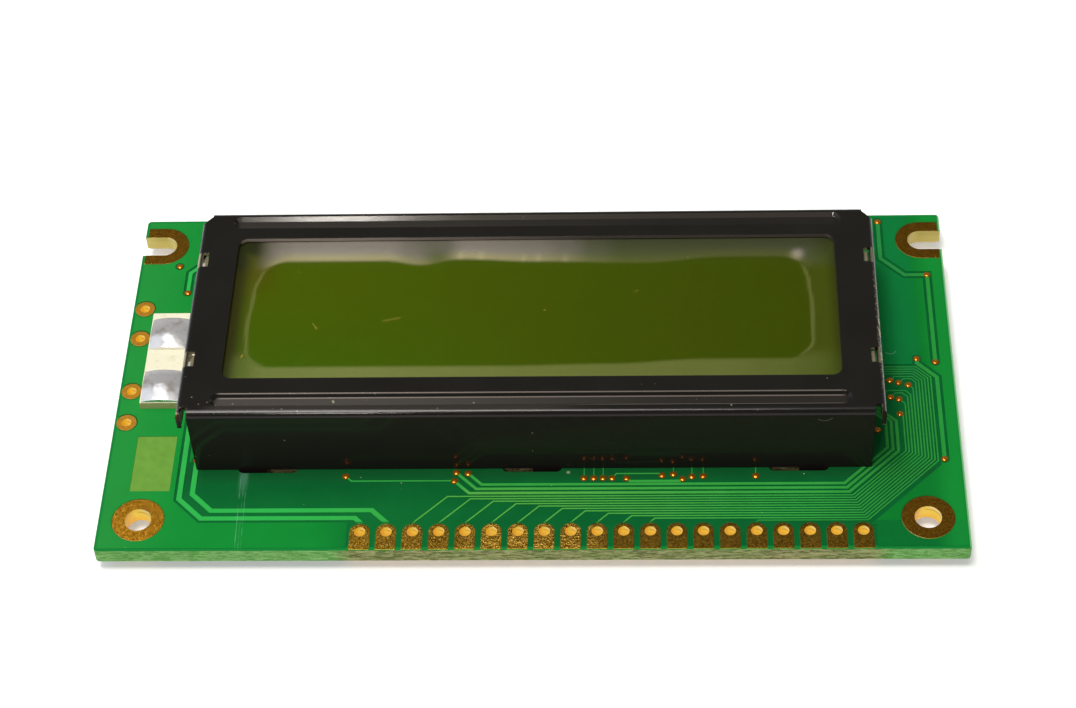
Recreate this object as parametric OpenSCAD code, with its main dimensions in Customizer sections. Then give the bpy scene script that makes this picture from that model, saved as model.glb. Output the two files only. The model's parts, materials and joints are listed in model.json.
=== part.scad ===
// Graphic display module: a circuit board with edge terminals carries a liquid crystal cell
// and its light box under a folded sheet metal bezel.
// Millimetres. X runs along the board, Y from the terminal edge to the far edge, Z up.
// The origin is below the middle of the board, level with the lowest point of the rear side.

/* [Board] */
// Length of the circuit board
board_w = 84; // [82:0.5:90]
// Depth of the circuit board
board_d = 44; // [42:0.5:50]
// Thickness of the laminate
board_t = 1.6; // [1:0.1:2.4]
// Radius of the board's corners
board_corner_r = 0.4; // [0.2:0.1:0.8]
// Thickness of the copper on each face
copper_t = 0.05; // [0.03:0.01:0.1]
// Wall thickness of plated holes
plating_t = 0.05; // [0.03:0.01:0.1]
// Distance from the board's edge to the copper areas
copper_inset = 0.3; // [0.2:0.05:0.6]
// Gap between a conductor and a copper area
copper_gap = 0.28; // [0.15:0.01:0.35]

/* [Mounting] */
// Diameter of the two round mounting holes and width of the two open slots
mount_hole_d = 2.6; // [2:0.1:3.2]
// Diameter of the plated land round each hole and slot
mount_land_d = 5.1; // [4:0.1:5.6]
// Side edge to the centre of a round hole
mount_inset_x = 3.9; // [3.2:0.1:4.2]
// Front edge to the centre of a round hole
mount_inset_y = 3.75; // [3.2:0.05:4.2]
// Side edge to the centre of a slot's round end
slot_inset_x = 2.2; // [1.4:0.1:2.8]
// Back edge to the middle of a slot
slot_inset_y = 3.7; // [3.2:0.1:4.2]

/* [Terminals] */
// Number of terminals along the front edge
terminal_count = 20; // [18:1:20]
// Spacing of the terminals
terminal_pitch = 2.54; // [2.4:0.01:2.6]
// Right edge to the last terminal
terminal_start = 10.14; // [9.8:0.02:11]
// Front edge to the row of terminal holes
terminal_setback = 2.2; // [2:0.1:2.6]
// Hole of a terminal
terminal_hole_d = 1.1; // [0.8:0.05:1.3]
// Width of a terminal's land
terminal_pad_w = 1.95; // [1.7:0.05:2.1]
// Front edge to the foot of a terminal's land
terminal_foot_gap = 0.1; // [0.05:0.05:0.3]

/* [Conductors] */
// Width of a signal conductor
signal_w = 0.14; // [0.1:0.01:0.18]
// Spacing of the signal conductors
signal_pitch = 0.305; // [0.29:0.005:0.32]
// Row of terminal holes to the nearest signal conductor
signal_rise = 1.24; // [1.2:0.02:1.4]
// Width of a display supply conductor
drive_w = 0.3; // [0.2:0.02:0.36]
// Spacing of the display supply conductors
drive_pitch = 0.525; // [0.48:0.005:0.56]
// Width of a power conductor
power_w = 0.5; // [0.4:0.05:0.6]
// Width of a guard conductor along the side edge
guard_w = 0.4; // [0.3:0.05:0.5]
// Land of a through connection
via_land_d = 0.7; // [0.6:0.05:0.85]
// Hole of a through connection
via_hole_d = 0.34; // [0.25:0.01:0.45]

/* [Bezel] */
// Length of the bezel over its side skirts
bezel_w = 68.2; // [66:0.1:70]
// Depth of the bezel over its front and back walls
bezel_d = 27.05; // [26:0.05:28.5]
// Height of the bezel's top above the board
bezel_h = 8.5; // [7.5:0.1:10]
// Last display supply conductor to the bezel's front wall
bezel_strip = 2; // [1.8:0.1:2.4]
// Thickness of the sheet metal
sheet_t = 0.4; // [0.3:0.05:0.5]
// Outer radius of the bends
bend_r = 0.6; // [0.55:0.05:0.9]
// Height of the side skirts
skirt_h = 2.2; // [1.6:0.1:2.8]
// Skirt face to the end of the front and back walls
wall_inset = 1.05; // [0.9:0.05:1.3]
// Length of the window
window_w = 60.2; // [56:0.1:61]
// Depth of the window
window_d = 18.65; // [17:0.05:19]
// Front wall to the window
window_setback = 4.6; // [4.2:0.05:5.2]
// Corner radius of the window
window_r = 1; // [0.5:0.1:2]
// Length of the pressed grooves
groove_l = 61.8; // [58:0.1:63]
// Width of a groove at the top face
groove_w = 1.6; // [1.3:0.05:1.8]
// Depth of the grooves
groove_depth = 0.35; // [0.32:0.01:0.45]
// Front wall to the middle of the front groove
groove_setback = 1.85; // [1.75:0.05:2]
// Back wall to the middle of the rear groove
groove_rear_setback = 1.5; // [1.45:0.05:1.7]
// Width of a lanced notch in a skirt
lance_w = 1.9; // [1.5:0.1:2.4]
// Spacing of the two notches on a side
lance_pitch = 13.3; // [12:0.1:15]
// Front wall to the first notch
lance_setback = 7.15; // [6.5:0.05:7.5]

/* [Bezel tabs] */
// Width of a tab
tab_w = 2.8; // [2:0.1:3.2]
// Length of the bent end of a tab
tab_reach = 1.9; // [1.4:0.1:2.5]
// Spacing of the three tabs along a wall
tab_pitch = 26; // [24:0.5:28]
// Length of a routed slot
tab_slot_l = 5.9; // [5.6:0.1:6.4]
// Width of a routed slot
tab_slot_w = 1.2; // [1:0.05:1.4]

/* [Display] */
// Thickness of a glass plate
glass_t = 1.05; // [0.7:0.05:1.1]
// Gap between the glass and the bezel
glass_clear = 0.2; // [0.1:0.05:0.3]
// Width of the contact ledge along each long side of the front glass
ledge_w = 2.85; // [2.7:0.05:3.1]
// Length of the rear glass
rear_glass_w = 64; // [62.5:0.1:64.6]
// Thickness of the seal between the plates
cell_gap = 0.05; // [0.03:0.01:0.1]
// Width of the seal
seal_w = 1; // [0.6:0.1:1.4]
// Thickness of a polariser
polariser_t = 0.2; // [0.12:0.02:0.22]
// Length of the front polariser
polariser_w = 63; // [62:0.1:63.6]
// Thickness of the protective film
film_t = 0.06; // [0.04:0.01:0.08]
// Edge of the polariser to the edge of the protective film
film_inset = 0.3; // [0.2:0.05:0.5]

/* [Contact strips] */
// Width of an elastic contact strip
strip_w = 1.5; // [1.2:0.05:1.6]
// Length of an elastic contact strip
strip_l = 62; // [60:0.1:63]
// Width of a contact finger
finger_w = 0.5; // [0.4:0.05:0.6]
// Spacing of the contact fingers
finger_pitch = 1; // [0.8:0.05:1.2]

/* [Light box] */
// Thickness of the light box's own board
light_board_t = 0.85; // [0.6:0.05:1]
// Reach of its tongue beyond the light box
tongue_reach = 7.6; // [7:0.1:8]
// Width of the tongue
tongue_w = 12.1; // [11.5:0.1:13]
// Middle of the bezel to the middle of the tongue
tongue_shift = 0.45; // [0:0.05:1]
// Length of a soldered land on the tongue
solder_l = 3.9; // [3.5:0.1:4.3]
// Width of a soldered land on the tongue
solder_w = 4; // [3.5:0.1:4.1]
// Spacing of the two soldered lands
solder_pitch = 7.05; // [6.9:0.05:7.2]
// Front edge of the tongue to the nearer soldered land
solder_margin = 0.05; // [0.05:0.05:0.15]
// Height of the solder over its middle
solder_h = 0.75; // [0.5:0.05:0.9]
// Height of the solder at the corners of its land
solder_edge_h = 0.12; // [0.08:0.02:0.2]
// Wall of the reflector frame
reflector_wall = 1; // [0.8:0.1:1.4]
// Gap between the light box and the contact strips
light_clear = 0.25; // [0.15:0.05:0.4]
// Thickness of the diffuser
diffuser_t = 0.5; // [0.4:0.05:0.6]
// Number of lamps along the light box
lamp_columns = 10; // [8:1:12]
// Spacing of the lamps
lamp_pitch = 5.8; // [4:0.1:6]

/* [Light box holes] */
// Land of a plated hole along the left edge
eyelet_land_d = 2; // [1.8:0.1:2.2]
// Plated hole along the left edge
eyelet_hole_d = 1; // [0.8:0.05:1.2]
// Left edge to the plated holes
eyelet_inset = 1.2; // [1.15:0.05:1.35]
// Spacing of the two inner plated holes
eyelet_inner_pitch = 7.1; // [6.5:0.1:7.6]
// Spacing of the two outer plated holes
eyelet_outer_pitch = 15.3; // [14.5:0.1:16]

/* [Rear side] */
// Height of the sealed driver chips
glob_h = 1.3; // [1.1:0.05:1.8]
// Diameter of a sealed driver chip at the board
glob_d = 12; // [10:0.5:13]
// Spacing of the two driver chips
glob_pitch = 36; // [34:0.5:38]
// Length of a chip resistor or capacitor
chip_l = 2; // [1.6:0.1:2.2]
// Width of a chip resistor or capacitor
chip_w = 1.25; // [0.8:0.05:1.3]
// Height of a chip resistor
resistor_h = 0.5; // [0.4:0.05:0.6]
// Height of a chip capacitor
capacitor_h = 0.8; // [0.6:0.05:0.95]
// Length of a chip's metal end
chip_end_l = 0.4; // [0.3:0.05:0.5]
// Number of chip resistors in the divider
resistor_count = 5; // [3:1:6]
// Number of chip capacitors
capacitor_count = 3; // [2:1:4]
// Spacing of the chips in a row
chip_pitch = 2.6; // [2.2:0.1:3]

/* [Hidden] */
$fn = 48;
eps = 0.01;
round_fn = 32;

// Levels of the stack
board_bottom = glob_h;
board_top = board_bottom + board_t;
deck = board_top + copper_t;
rear_deck = board_bottom - copper_t;
bezel_top = board_top + bezel_h;
bezel_under = bezel_top - sheet_t;
front_glass_top = bezel_under - groove_depth;
front_glass_bottom = front_glass_top - glass_t;
rear_glass_top = front_glass_bottom - cell_gap;
rear_glass_bottom = rear_glass_top - glass_t;
diffuser_top = rear_glass_bottom - polariser_t;
diffuser_bottom = diffuser_top - diffuser_t;
light_board_top = deck + light_board_t;
polariser_top = front_glass_top + polariser_t;

// Board edges
edge_left = -board_w / 2;
edge_right = board_w / 2;
edge_front = -board_d / 2;
edge_back = board_d / 2;
mount_x = board_w / 2 - mount_inset_x;
mount_y = edge_front + mount_inset_y;
slot_x = board_w / 2 - slot_inset_x;
slot_y = edge_back - slot_inset_y;

// Terminals
terminal_y = edge_front + terminal_setback;
terminal_foot = terminal_setback - terminal_foot_gap;
terminal_exit = terminal_pad_w / 2 + 0.12;
function terminal_x(i) = edge_right - terminal_start - (terminal_count - 1 - i) * terminal_pitch;

// Signal conductors: the terminals they serve and the lines they follow
signal_terminals = [2, 3, 4, 5, 6, 7, 8, 9, 10, 11, 15];
signal_last = len(signal_terminals) - 1;
signal_turn = 9.65;
signal_edge = 2.43;
root2 = sqrt(2);
function signal_y(k) = terminal_y + signal_rise + (signal_last - k) * signal_pitch;
function signal_x(k) = edge_right - signal_edge - (signal_last - k) * signal_pitch;
function signal_c(k) =
    edge_right - signal_turn - signal_y(signal_last) - (signal_last - k) * signal_pitch * root2;

// Display supply conductors beside the signals
drive_count = 3;
drive_gap = 0.4;
drive_side_gap = 0.72;
drive_slant_gap = 0.5;
function drive_y(m) = signal_y(0) + drive_gap + m * drive_pitch;
function drive_x(m) = signal_x(0) - drive_side_gap - m * drive_pitch;
function drive_c(m) = signal_c(0) - (drive_slant_gap + m * drive_pitch) * root2;

// Bezel edges
bezel_front = drive_y(drive_count - 1) + bezel_strip;
bezel_back = bezel_front + bezel_d;
bezel_y = (bezel_front + bezel_back) / 2;
bezel_side = bezel_w / 2;
wall_half = bezel_side - wall_inset;
window_y = bezel_front + window_setback + window_d / 2;
groove_front_y = bezel_front + groove_setback;
groove_rear_y = bezel_back - groove_rear_setback;
skirt_gap = 0.15;
skirt_corner = 1.4;
skirt_front = bezel_front + skirt_gap;
skirt_back = bezel_back - skirt_corner;
relief_clear = 0.15;
relief_shift = 0.05;
lance_foot_h = 0.5;
lance_head_gap = 0.2;
lance_lean = 0.75;
lance_tip_t = 0.33;
lance_slot_d = 0.75;
lance_slot_inset = 0.4;
lance_foot = bezel_top - skirt_h + lance_foot_h;
lance_head = bezel_under - lance_head_gap;

// Display edges
glass_w = 2 * (bezel_side - sheet_t - 0.5 - glass_clear);
glass_front = bezel_front + sheet_t + glass_clear;
glass_back = bezel_back - sheet_t - glass_clear;
glass_y = (glass_front + glass_back) / 2;
glass_d = glass_back - glass_front;
rear_glass_d = glass_d - 2 * ledge_w;
polariser_gap = 0.1;
polariser_front = groove_front_y + groove_w / 2 + polariser_gap;
polariser_back = groove_rear_y - groove_w / 2 - polariser_gap;
polariser_y = (polariser_front + polariser_back) / 2;
polariser_d = polariser_back - polariser_front;

// Light box edges
light_front = groove_front_y + strip_w / 2 + light_clear;
light_back = groove_rear_y - strip_w / 2 - light_clear;
light_y = (light_front + light_back) / 2;
light_d = light_back - light_front;
light_w = rear_glass_w;
tongue_y = bezel_y + tongue_shift;
tongue_end = -light_w / 2 - tongue_reach;
solder_x = tongue_end + 0.15 + solder_l / 2;
solder_y = tongue_y - tongue_w / 2 + solder_margin + solder_w / 2;
eyelet_x = edge_left + eyelet_inset;
eyelet_y = tongue_y - 0.22;
eyelets = [
    for (pitch = [eyelet_inner_pitch, eyelet_outer_pitch]) for (side = [-1, 1])
        [eyelet_x, eyelet_y + side * pitch / 2]
];

// Through connections, placed from the bezel's front wall and the board's edges
row_vias = [
    for (p = [[5.1, 1.25], [6.05, 1.25], [6.95, 1.25], [7.85, 1.25], [9.25, 1.3], [12.7, 0.95],
        [13.8, 0.8], [14.7, 1.4], [15.6, 1.1], [16.7, 1.05], [21.8, 1.05]])
        [p[0], bezel_front - p[1]]
];
drive_vias = [
    for (p = [[-7.55, 1.55], [-7.4, 0.5], [-6.25, 0.6]])
        [p[0], bezel_front - p[1]]
];
link_via = [-18.25, bezel_front - 0.9];
side_vias = [
    for (p = [[5.75, 6.7], [5.75, 8.6], [6.55, 8.85], [4.7, 10.45], [5.65, 10.75], [6.5, 11.05]])
        [edge_right - p[0], bezel_front + p[1]]
];
corner_via = [edge_right - 8.1, bezel_front + 4.65];
guard_inset = 1.8;
guard_vias = [
    [edge_right - guard_inset, bezel_front + 0.95],
    [edge_right - 3.65, bezel_front + 13.9],
    [edge_right - guard_inset, bezel_front + 13.45],
    [edge_right - guard_inset, slot_y - 4.95],
    [edge_right - 6.45, edge_back - 1]
];
left_vias = [
    [edge_left + 4.15, slot_y - 2.95],
    [edge_left + 5.4, slot_y - 6.7],
    [edge_left + 6.6, edge_back - 1.4]
];
power_x = [edge_left + 7.6, edge_left + 8.85];
power_y = [terminal_y + 1.7, terminal_y + 2.65];
power_corner = [2.4, 2.05];
power_vias = [
    [power_x[0], tongue_y - tongue_w / 2 + 0.95],
    [power_x[1], bezel_front + 1.2]
];
vias = concat(
    row_vias, drive_vias, [link_via], side_vias, [corner_via], guard_vias, left_vias, power_vias
);

// Paths of the conductors on the display side
side_end = bezel_side - 1.2;
function signal_tail(k) =
    let (
        x = signal_x(k),
        low = side_vias[2] + [0.55, 0.55],
        mid = side_vias[4] + [0.5, 0.5],
        high = side_vias[5] + [0.5, 0.5],
        straight = k == 0 ? side_vias[0] : k == 1 ? side_vias[1] : side_vias[3],
        level = k == 2 ? low[1] : k == 3 ? low[1] + signal_pitch : k == 5 ? mid[1]
            : k == 6 ? high[1] : high[1] + 0.05 + (k - 6) * signal_pitch,
        slant = signal_x(6) + high[1] - 0.6 + (k - 6) * signal_pitch * root2,
        cut = k < 4 ? 0.5 : x + level - slant,
        bend = [[x, level - cut], [x - cut, level]]
    )
    k == 0 || k == 1 || k == 4 ? [[x, straight[1] - (x - straight[0])], straight]
    : k == 2 ? concat(bend, [low, side_vias[2]])
    : k == 5 ? concat(bend, [mid, side_vias[4]])
    : k == 6 ? concat(bend, [high, side_vias[5]])
    : concat(bend, [[side_end, level]]);
function signal_path(k) =
    let (
        x = terminal_x(signal_terminals[k]),
        y = signal_y(k),
        start = terminal_y + terminal_exit
    )
    concat(
        [[x, terminal_y], [x, start], [x + y - start, y]],
        [[y + signal_c(k), y], [signal_x(k), signal_x(k) - signal_c(k)]],
        signal_tail(k)
    );
function drive_path(m) =
    let (
        from = drive_vias[m],
        y = drive_y(m),
        x = drive_x(m),
        top = bezel_front + 5.8
    )
    [
        from, [from[0] + from[1] - y, y], [y + drive_c(m), y], [x, x - drive_c(m)],
        [x, top], [side_end, top + x - side_end]
    ];
function power_path(n) =
    let (
        x = power_x[n],
        y = power_y[n],
        c = power_corner[n],
        pad = terminal_x(n),
        drop = y - terminal_y - terminal_exit
    )
    [
        power_vias[n], [x, y + c], [x + c, y], [pad - drop, y],
        [pad, terminal_y + terminal_exit], [pad, terminal_y]
    ];
guard_path = [
    guard_vias[0],
    [guard_vias[0][0], guard_vias[1][1] - 0.6 + guard_vias[1][0] - guard_vias[0][0]],
    [guard_vias[1][0], guard_vias[1][1] - 0.6],
    guard_vias[1]
];
back_run = 2.3;
back_path = [
    guard_vias[2], guard_vias[3], guard_vias[3] - [back_run, 0],
    [guard_vias[4][0], guard_vias[3][1] + guard_vias[3][0] - back_run - guard_vias[4][0]],
    guard_vias[4]
];
left_path = [
    left_vias[1], left_vias[1] + [0, 2.8], left_vias[1] + [1.2, 4], left_vias[2]
];
link_y = drive_vias[0][1] + 0.05;
link_path = [link_via, [link_via[0] + link_via[1] - link_y, link_y], [drive_vias[0][0], link_y]];
short_drop = 0.35;
short_path = [
    row_vias[4], row_vias[4] + [short_drop, -short_drop],
    [row_vias[7][0] - short_drop, row_vias[4][1] - short_drop], row_vias[7]
];
long_y = row_vias[3][1] + 0.55;
long_path = [
    row_vias[3], [row_vias[3][0] + 0.4, long_y], [row_vias[5][0] - 0.3, long_y], row_vias[5]
];
stub_w = 0.08;
stub_end = bezel_front + sheet_t + 0.3;
stub_paths = [for (i = [0, 1, 2, 6, 8, 9, 10]) [row_vias[i], [row_vias[i][0], stub_end]]];
front_conductors = concat(
    [for (k = [0:signal_last]) [signal_path(k), signal_w]],
    [for (m = [0:drive_count - 1]) [drive_path(m), drive_w]],
    [for (n = [0, 1]) [power_path(n), power_w]],
    [[guard_path, guard_w], [back_path, guard_w], [left_path, guard_w]],
    [[link_path, signal_w], [short_path, drive_w], [long_path, signal_w]],
    [for (path = stub_paths) [path, stub_w]]
);

// Paths of the conductors on the rear side
glob_y = bezel_y - 0.5;
glob_side = glob_pitch / 2;
rear_terminals = [12, 13, 14, 16, 17, 18, 19];
rear_pitch = 0.55;
rear_middle = glob_side + 1.25;
rear_w = 0.18;
rear_cut = 0.4;
function rear_path(i) =
    let (
        last = len(rear_terminals) - 1,
        from = terminal_x(rear_terminals[min(i, terminal_count - 14)]),
        to = rear_middle + (i - last / 2) * rear_pitch,
        side = sign(to - from),
        rank = i < 3 ? 2 - i : i - 3,
        y = terminal_y + terminal_exit + 0.8 + rank * rear_pitch
    )
    [
        [from, terminal_y], [from, y - rear_cut], [from + side * rear_cut, y],
        [to - side * rear_cut, y], [to, y + rear_cut], [to, glob_y]
    ];
link_count = 8;
link_pitch = 0.6;
chip_row_y = bezel_back - 6.4;
function rear_link(i) =
    let (y = glob_y + (i - (link_count - 1) / 2) * link_pitch)
    [[-glob_side, y], [glob_side, y]];
function divider_link(i) =
    let (x = chip_x(i, resistor_count), land = chip_l / 2 - chip_end_l / 2)
    [[x, chip_row_y - land], [x + chip_pitch, chip_row_y - land]];
rear_conductors = concat(
    [for (i = [0:terminal_count - 14]) [rear_path(i), rear_w]],
    [for (i = [0:link_count - 1]) [rear_link(i), rear_w]],
    [for (i = [1:resistor_count - 1]) [divider_link(i), rear_w]]
);

// Chips on the rear side
capacitor_x = -glob_side;
function chip_x(i, count) = (i - (count + 1) / 2) * chip_pitch;
function resistor_at(i) = [chip_x(i, resistor_count), chip_row_y];
function capacitor_at(i) = [capacitor_x + chip_x(i, capacitor_count), chip_row_y];
chip_places = concat(
    [for (i = [1:resistor_count]) [resistor_at(i), resistor_h]],
    [for (i = [1:capacitor_count]) [capacitor_at(i), capacitor_h]]
);
land_reach = 0.35;

// Bezel tabs: the place of each slot and the half of it that the tab fills
tab_slots = [[-tab_pitch, -1], [0, 1], [tab_pitch, 1]];
tab_slot_y = sheet_t / 2;
tab_shift = (tab_slot_l - tab_w) / 2 - 0.1;
tab_bend_r = 0.55;

// Signs of the left and right side
sides = [-1, 1];

resistors = [for (i = [1:resistor_count]) str("resistor_", i)];
capacitors = [for (i = [1:capacitor_count]) str("capacitor_", i)];

// Flat outlines

// Rectangle with round corners, centred
module rounded_rect(w, d, r) {
    square([w - 2 * r, d], center = true);
    square([w, d - 2 * r], center = true);
    for (x = sides) for (y = sides)
        translate([x * (w / 2 - r), y * (d / 2 - r)]) circle(r = r);
}

function direction(a, b) = (b - a) / norm(b - a);
function left_of(d) = [-d[1], d[0]];

// Step from a path's point to the mitred edge of a line of width 2
function mitre(path, i) =
    let (
        last = len(path) - 1,
        before = left_of(direction(path[max(i - 1, 0)], path[max(i, 1)])),
        after = left_of(direction(path[min(i, last - 1)], path[min(i + 1, last)])),
        sum = before + after
    )
    2 * sum / (sum * sum);

// Outline of a line of the given width along a path
module line_along(path, w) {
    last = len(path) - 1;
    polygon(concat(
        [for (i = [0:last]) path[i] + mitre(path, i) * w / 2],
        [for (i = [last:-1:0]) path[i] - mitre(path, i) * w / 2]
    ));
}

module lines_of(conductors, gap = 0) {
    for (c = conductors) line_along(c[0], c[1] + 2 * gap);
}

// Land of a terminal: round behind, square to the board's front edge
module terminal_land(gap = 0) {
    circle(d = terminal_pad_w + 2 * gap);
    translate([-terminal_pad_w / 2 - gap, -terminal_foot])
        square([terminal_pad_w + 2 * gap, terminal_foot]);
}

module terminal_lands(gap = 0) {
    for (i = [0:terminal_count - 1]) translate([terminal_x(i), terminal_y]) terminal_land(gap);
}

module discs(places, d) {
    for (p = places) translate(p) circle(d = d);
}

// Slot that is open at the right edge, with a round inner end
module open_slot(w, end = edge_right + eps) {
    intersection() {
        union() {
            translate([slot_x, slot_y]) circle(d = w);
            translate([slot_x, slot_y - w / 2]) square([end - slot_x, w]);
        }
        translate([0, slot_y - w]) square([end, 2 * w]);
    }
}

module both_sides() {
    children();
    mirror([1, 0]) children();
}

// Slot with round ends for a bezel tab
module tab_slot(gap = 0) {
    rounded_rect(tab_slot_l + 2 * gap, tab_slot_w + 2 * gap, tab_slot_w / 2 + gap - eps);
}

module tab_slot_row(gap = 0) {
    for (s = tab_slots) {
        translate([s[0], bezel_front + tab_slot_y]) tab_slot(gap);
        translate([s[0], bezel_back - tab_slot_y]) tab_slot(gap);
    }
}

// Copper that is bare or plated and shows on both faces
module plated_shapes(gap = 0) {
    terminal_lands(gap);
    discs(vias, via_land_d + 2 * gap);
    discs(eyelets, eyelet_land_d + 2 * gap);
    both_sides() {
        translate([mount_x, mount_y]) circle(d = mount_land_d + gap);
        open_slot(mount_land_d + gap);
    }
}

// Plated lands on both faces with a lining through the board
module plated(land_edge = copper_t) {
    translate([0, 0, board_top]) linear_extrude(land_edge) children(0);
    translate([0, 0, board_bottom - land_edge]) linear_extrude(land_edge) children(0);
    translate([0, 0, board_bottom]) linear_extrude(board_t) children(1);
}

module plated_hole(hole_d) {
    plated() {
        difference() {
            children();
            circle(d = hole_d);
        }
        difference() {
            circle(d = hole_d + 2 * plating_t);
            circle(d = hole_d);
        }
    }
}

// Circuit board and its copper

module circuit_board() color("darkgreen")
    translate([0, 0, board_bottom]) linear_extrude(board_t) difference() {
        rounded_rect(board_w, board_d, board_corner_r);
        both_sides() {
            translate([mount_x, mount_y]) circle(d = mount_hole_d + 2 * plating_t);
            open_slot(mount_hole_d + 2 * plating_t);
        }
        for (i = [0:terminal_count - 1])
            translate([terminal_x(i), terminal_y]) circle(d = terminal_hole_d + 2 * plating_t);
        discs(vias, via_hole_d + 2 * plating_t);
        discs(eyelets, eyelet_hole_d + 2 * plating_t);
        tab_slot_row();
    }

// Bare laminate round the terminals and the signal lines
module bare_zone() {
    margin = 0.55;
    pad_side = terminal_pad_w / 2 + copper_gap;
    last_x = terminal_x(terminal_count - 1) + pad_side;
    outer_y = signal_y(signal_last) - margin;
    outer_x = signal_x(signal_last) + margin / 2;
    outer_c = signal_c(signal_last) + margin * root2;
    top = guard_vias[1][1] - 0.85;
    polygon([
        [power_x[0], bezel_front + 1], [power_x[0], power_y[0] + power_corner[0]],
        [power_x[0] + power_corner[0], power_y[0]], [terminal_x(0) - pad_side, power_y[0]],
        [terminal_x(0) - pad_side, edge_front], [last_x, edge_front],
        [last_x, outer_y], [outer_y + outer_c, outer_y],
        [outer_x, outer_x - outer_c], [outer_x, guard_path[1][1]],
        [outer_x + guard_path[1][1] - top, top], [side_end, top], [side_end, bezel_front + 1]
    ]);
}

// Window without copper beside the terminals' end of the board
module legend_window() {
    translate([edge_left + 2.6, terminal_y + 5.1]) square([3.95, 6.95]);
}

module display_zone() {
    translate([-side_end, bezel_front + sheet_t])
        square([2 * side_end, bezel_d - 2 * sheet_t]);
}

// Room for the rows of contact fingers
module finger_zone() {
    for (y = [groove_front_y, groove_rear_y]) translate([0, y])
        square([strip_l + 2 * copper_gap, strip_w + 2 * copper_gap], center = true);
}

module copper_sheet() {
    square([board_w - 2 * copper_inset, board_d - 2 * copper_inset], center = true);
}

module front_copper_area() color("green")
    translate([0, 0, board_top]) linear_extrude(copper_t) difference() {
        copper_sheet();
        display_zone();
        bare_zone();
        legend_window();
        lines_of(front_conductors, copper_gap);
        plated_shapes(copper_gap / 2);
        tab_slot_row(copper_gap);
        finger_zone();
    }

module front_conductors() color("limegreen")
    translate([0, 0, board_top]) linear_extrude(copper_t) difference() {
        lines_of(front_conductors);
        plated_shapes();
        display_zone();
    }

module chip_land_shapes(gap = 0) {
    w = chip_w + 0.2;
    l = chip_end_l + land_reach;
    for (c = chip_places) for (y = sides)
        translate(c[0] + [0, y * (chip_l / 2 - chip_end_l + l / 2)])
            square([w + 2 * gap, l + 2 * gap], center = true);
}

module glob_discs(gap = 0) {
    discs([for (x = sides) [x * glob_side, glob_y]], glob_d + 2 * gap);
}

module rear_copper_area() color("green")
    translate([0, 0, rear_deck]) linear_extrude(copper_t) difference() {
        copper_sheet();
        lines_of(rear_conductors, copper_gap);
        plated_shapes(copper_gap / 2);
        glob_discs(copper_gap);
        chip_land_shapes(copper_gap);
        translate([0, edge_front]) square([board_w, 2 * terminal_setback], center = true);
        tab_slot_row(copper_gap);
    }

module rear_conductors() color("limegreen")
    translate([0, 0, rear_deck]) linear_extrude(copper_t) difference() {
        lines_of(rear_conductors);
        plated_shapes();
        glob_discs();
        chip_land_shapes();
    }

module terminals() color("goldenrod")
    for (i = [0:terminal_count - 1]) translate([terminal_x(i), terminal_y])
        plated_hole(terminal_hole_d) terminal_land();

module through_connections() color("chocolate")
    for (p = vias) translate(p) plated_hole(via_hole_d) circle(d = via_land_d);

module light_box_holes() color("goldenrod")
    for (p = eyelets) translate(p) plated_hole(eyelet_hole_d) circle(d = eyelet_land_d);

module mounting_land(side) color("goldenrod")
    translate([side * mount_x, mount_y]) plated_hole(mount_hole_d) circle(d = mount_land_d);

module slot_land() color("goldenrod")
    plated() {
        difference() {
            open_slot(mount_land_d, edge_right - copper_inset);
            open_slot(mount_hole_d);
        }
        difference() {
            open_slot(mount_hole_d + 2 * plating_t, edge_right);
            open_slot(mount_hole_d);
        }
    }

// Row of contact fingers under an elastic strip
module contact_fingers(y) color("goldenrod") {
    count = floor((strip_l - finger_w) / finger_pitch);
    for (i = [0:count]) translate([(i - count / 2) * finger_pitch, y, board_top + copper_t / 2])
        cube([finger_w, strip_w, copper_t], center = true);
}

// Bezel

// Section of a folded channel, with its top at the origin and its legs down
module rounded_top(span, leg, r) {
    translate([-span / 2, -leg]) square([span, leg - r]);
    translate([-span / 2 + r, -r - eps]) square([span - 2 * r, r + eps]);
    for (x = sides) translate([x * (span / 2 - r), -r]) circle(r = r);
}

module channel_section(span, leg) {
    difference() {
        rounded_top(span, leg, bend_r);
        translate([0, -sheet_t]) rounded_top(span - 2 * sheet_t, leg, bend_r - sheet_t);
    }
}

// Channel of the front and back walls, or of the side skirts
module wall_channel() {
    translate([-wall_half, bezel_y, bezel_top]) rotate([90, 0, 90])
        linear_extrude(2 * wall_half) channel_section(bezel_d, bezel_top - deck);
}

module skirt_channel() {
    relief = bend_r - sheet_t + relief_clear;
    relief_x = bezel_side - sheet_t - relief + relief_shift;
    flat_front = bezel_front + bend_r;
    difference() {
        translate([0, skirt_back, bezel_top]) rotate([90, 0, 0])
            linear_extrude(skirt_back - skirt_front) channel_section(bezel_w, skirt_h);
        translate([-bezel_side + sheet_t, skirt_front - eps, bezel_top - skirt_h - eps])
            cube([bezel_w - 2 * sheet_t, flat_front - skirt_front, skirt_h + 2 * eps]);
        for (x = sides) translate([x * relief_x, flat_front, bezel_top - skirt_h])
            cylinder(r = relief, h = skirt_h + eps);
    }
}

// Slanted corner of the top between a side and the back wall
module back_corners() {
    flat_back = bezel_back - bend_r;
    translate([0, 0, bezel_under]) linear_extrude(sheet_t) both_sides()
        polygon([
            [wall_half - eps, skirt_back - eps], [bezel_side - bend_r / 2, skirt_back - eps],
            [wall_half, flat_back], [wall_half - eps, flat_back]
        ]);
}

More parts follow.
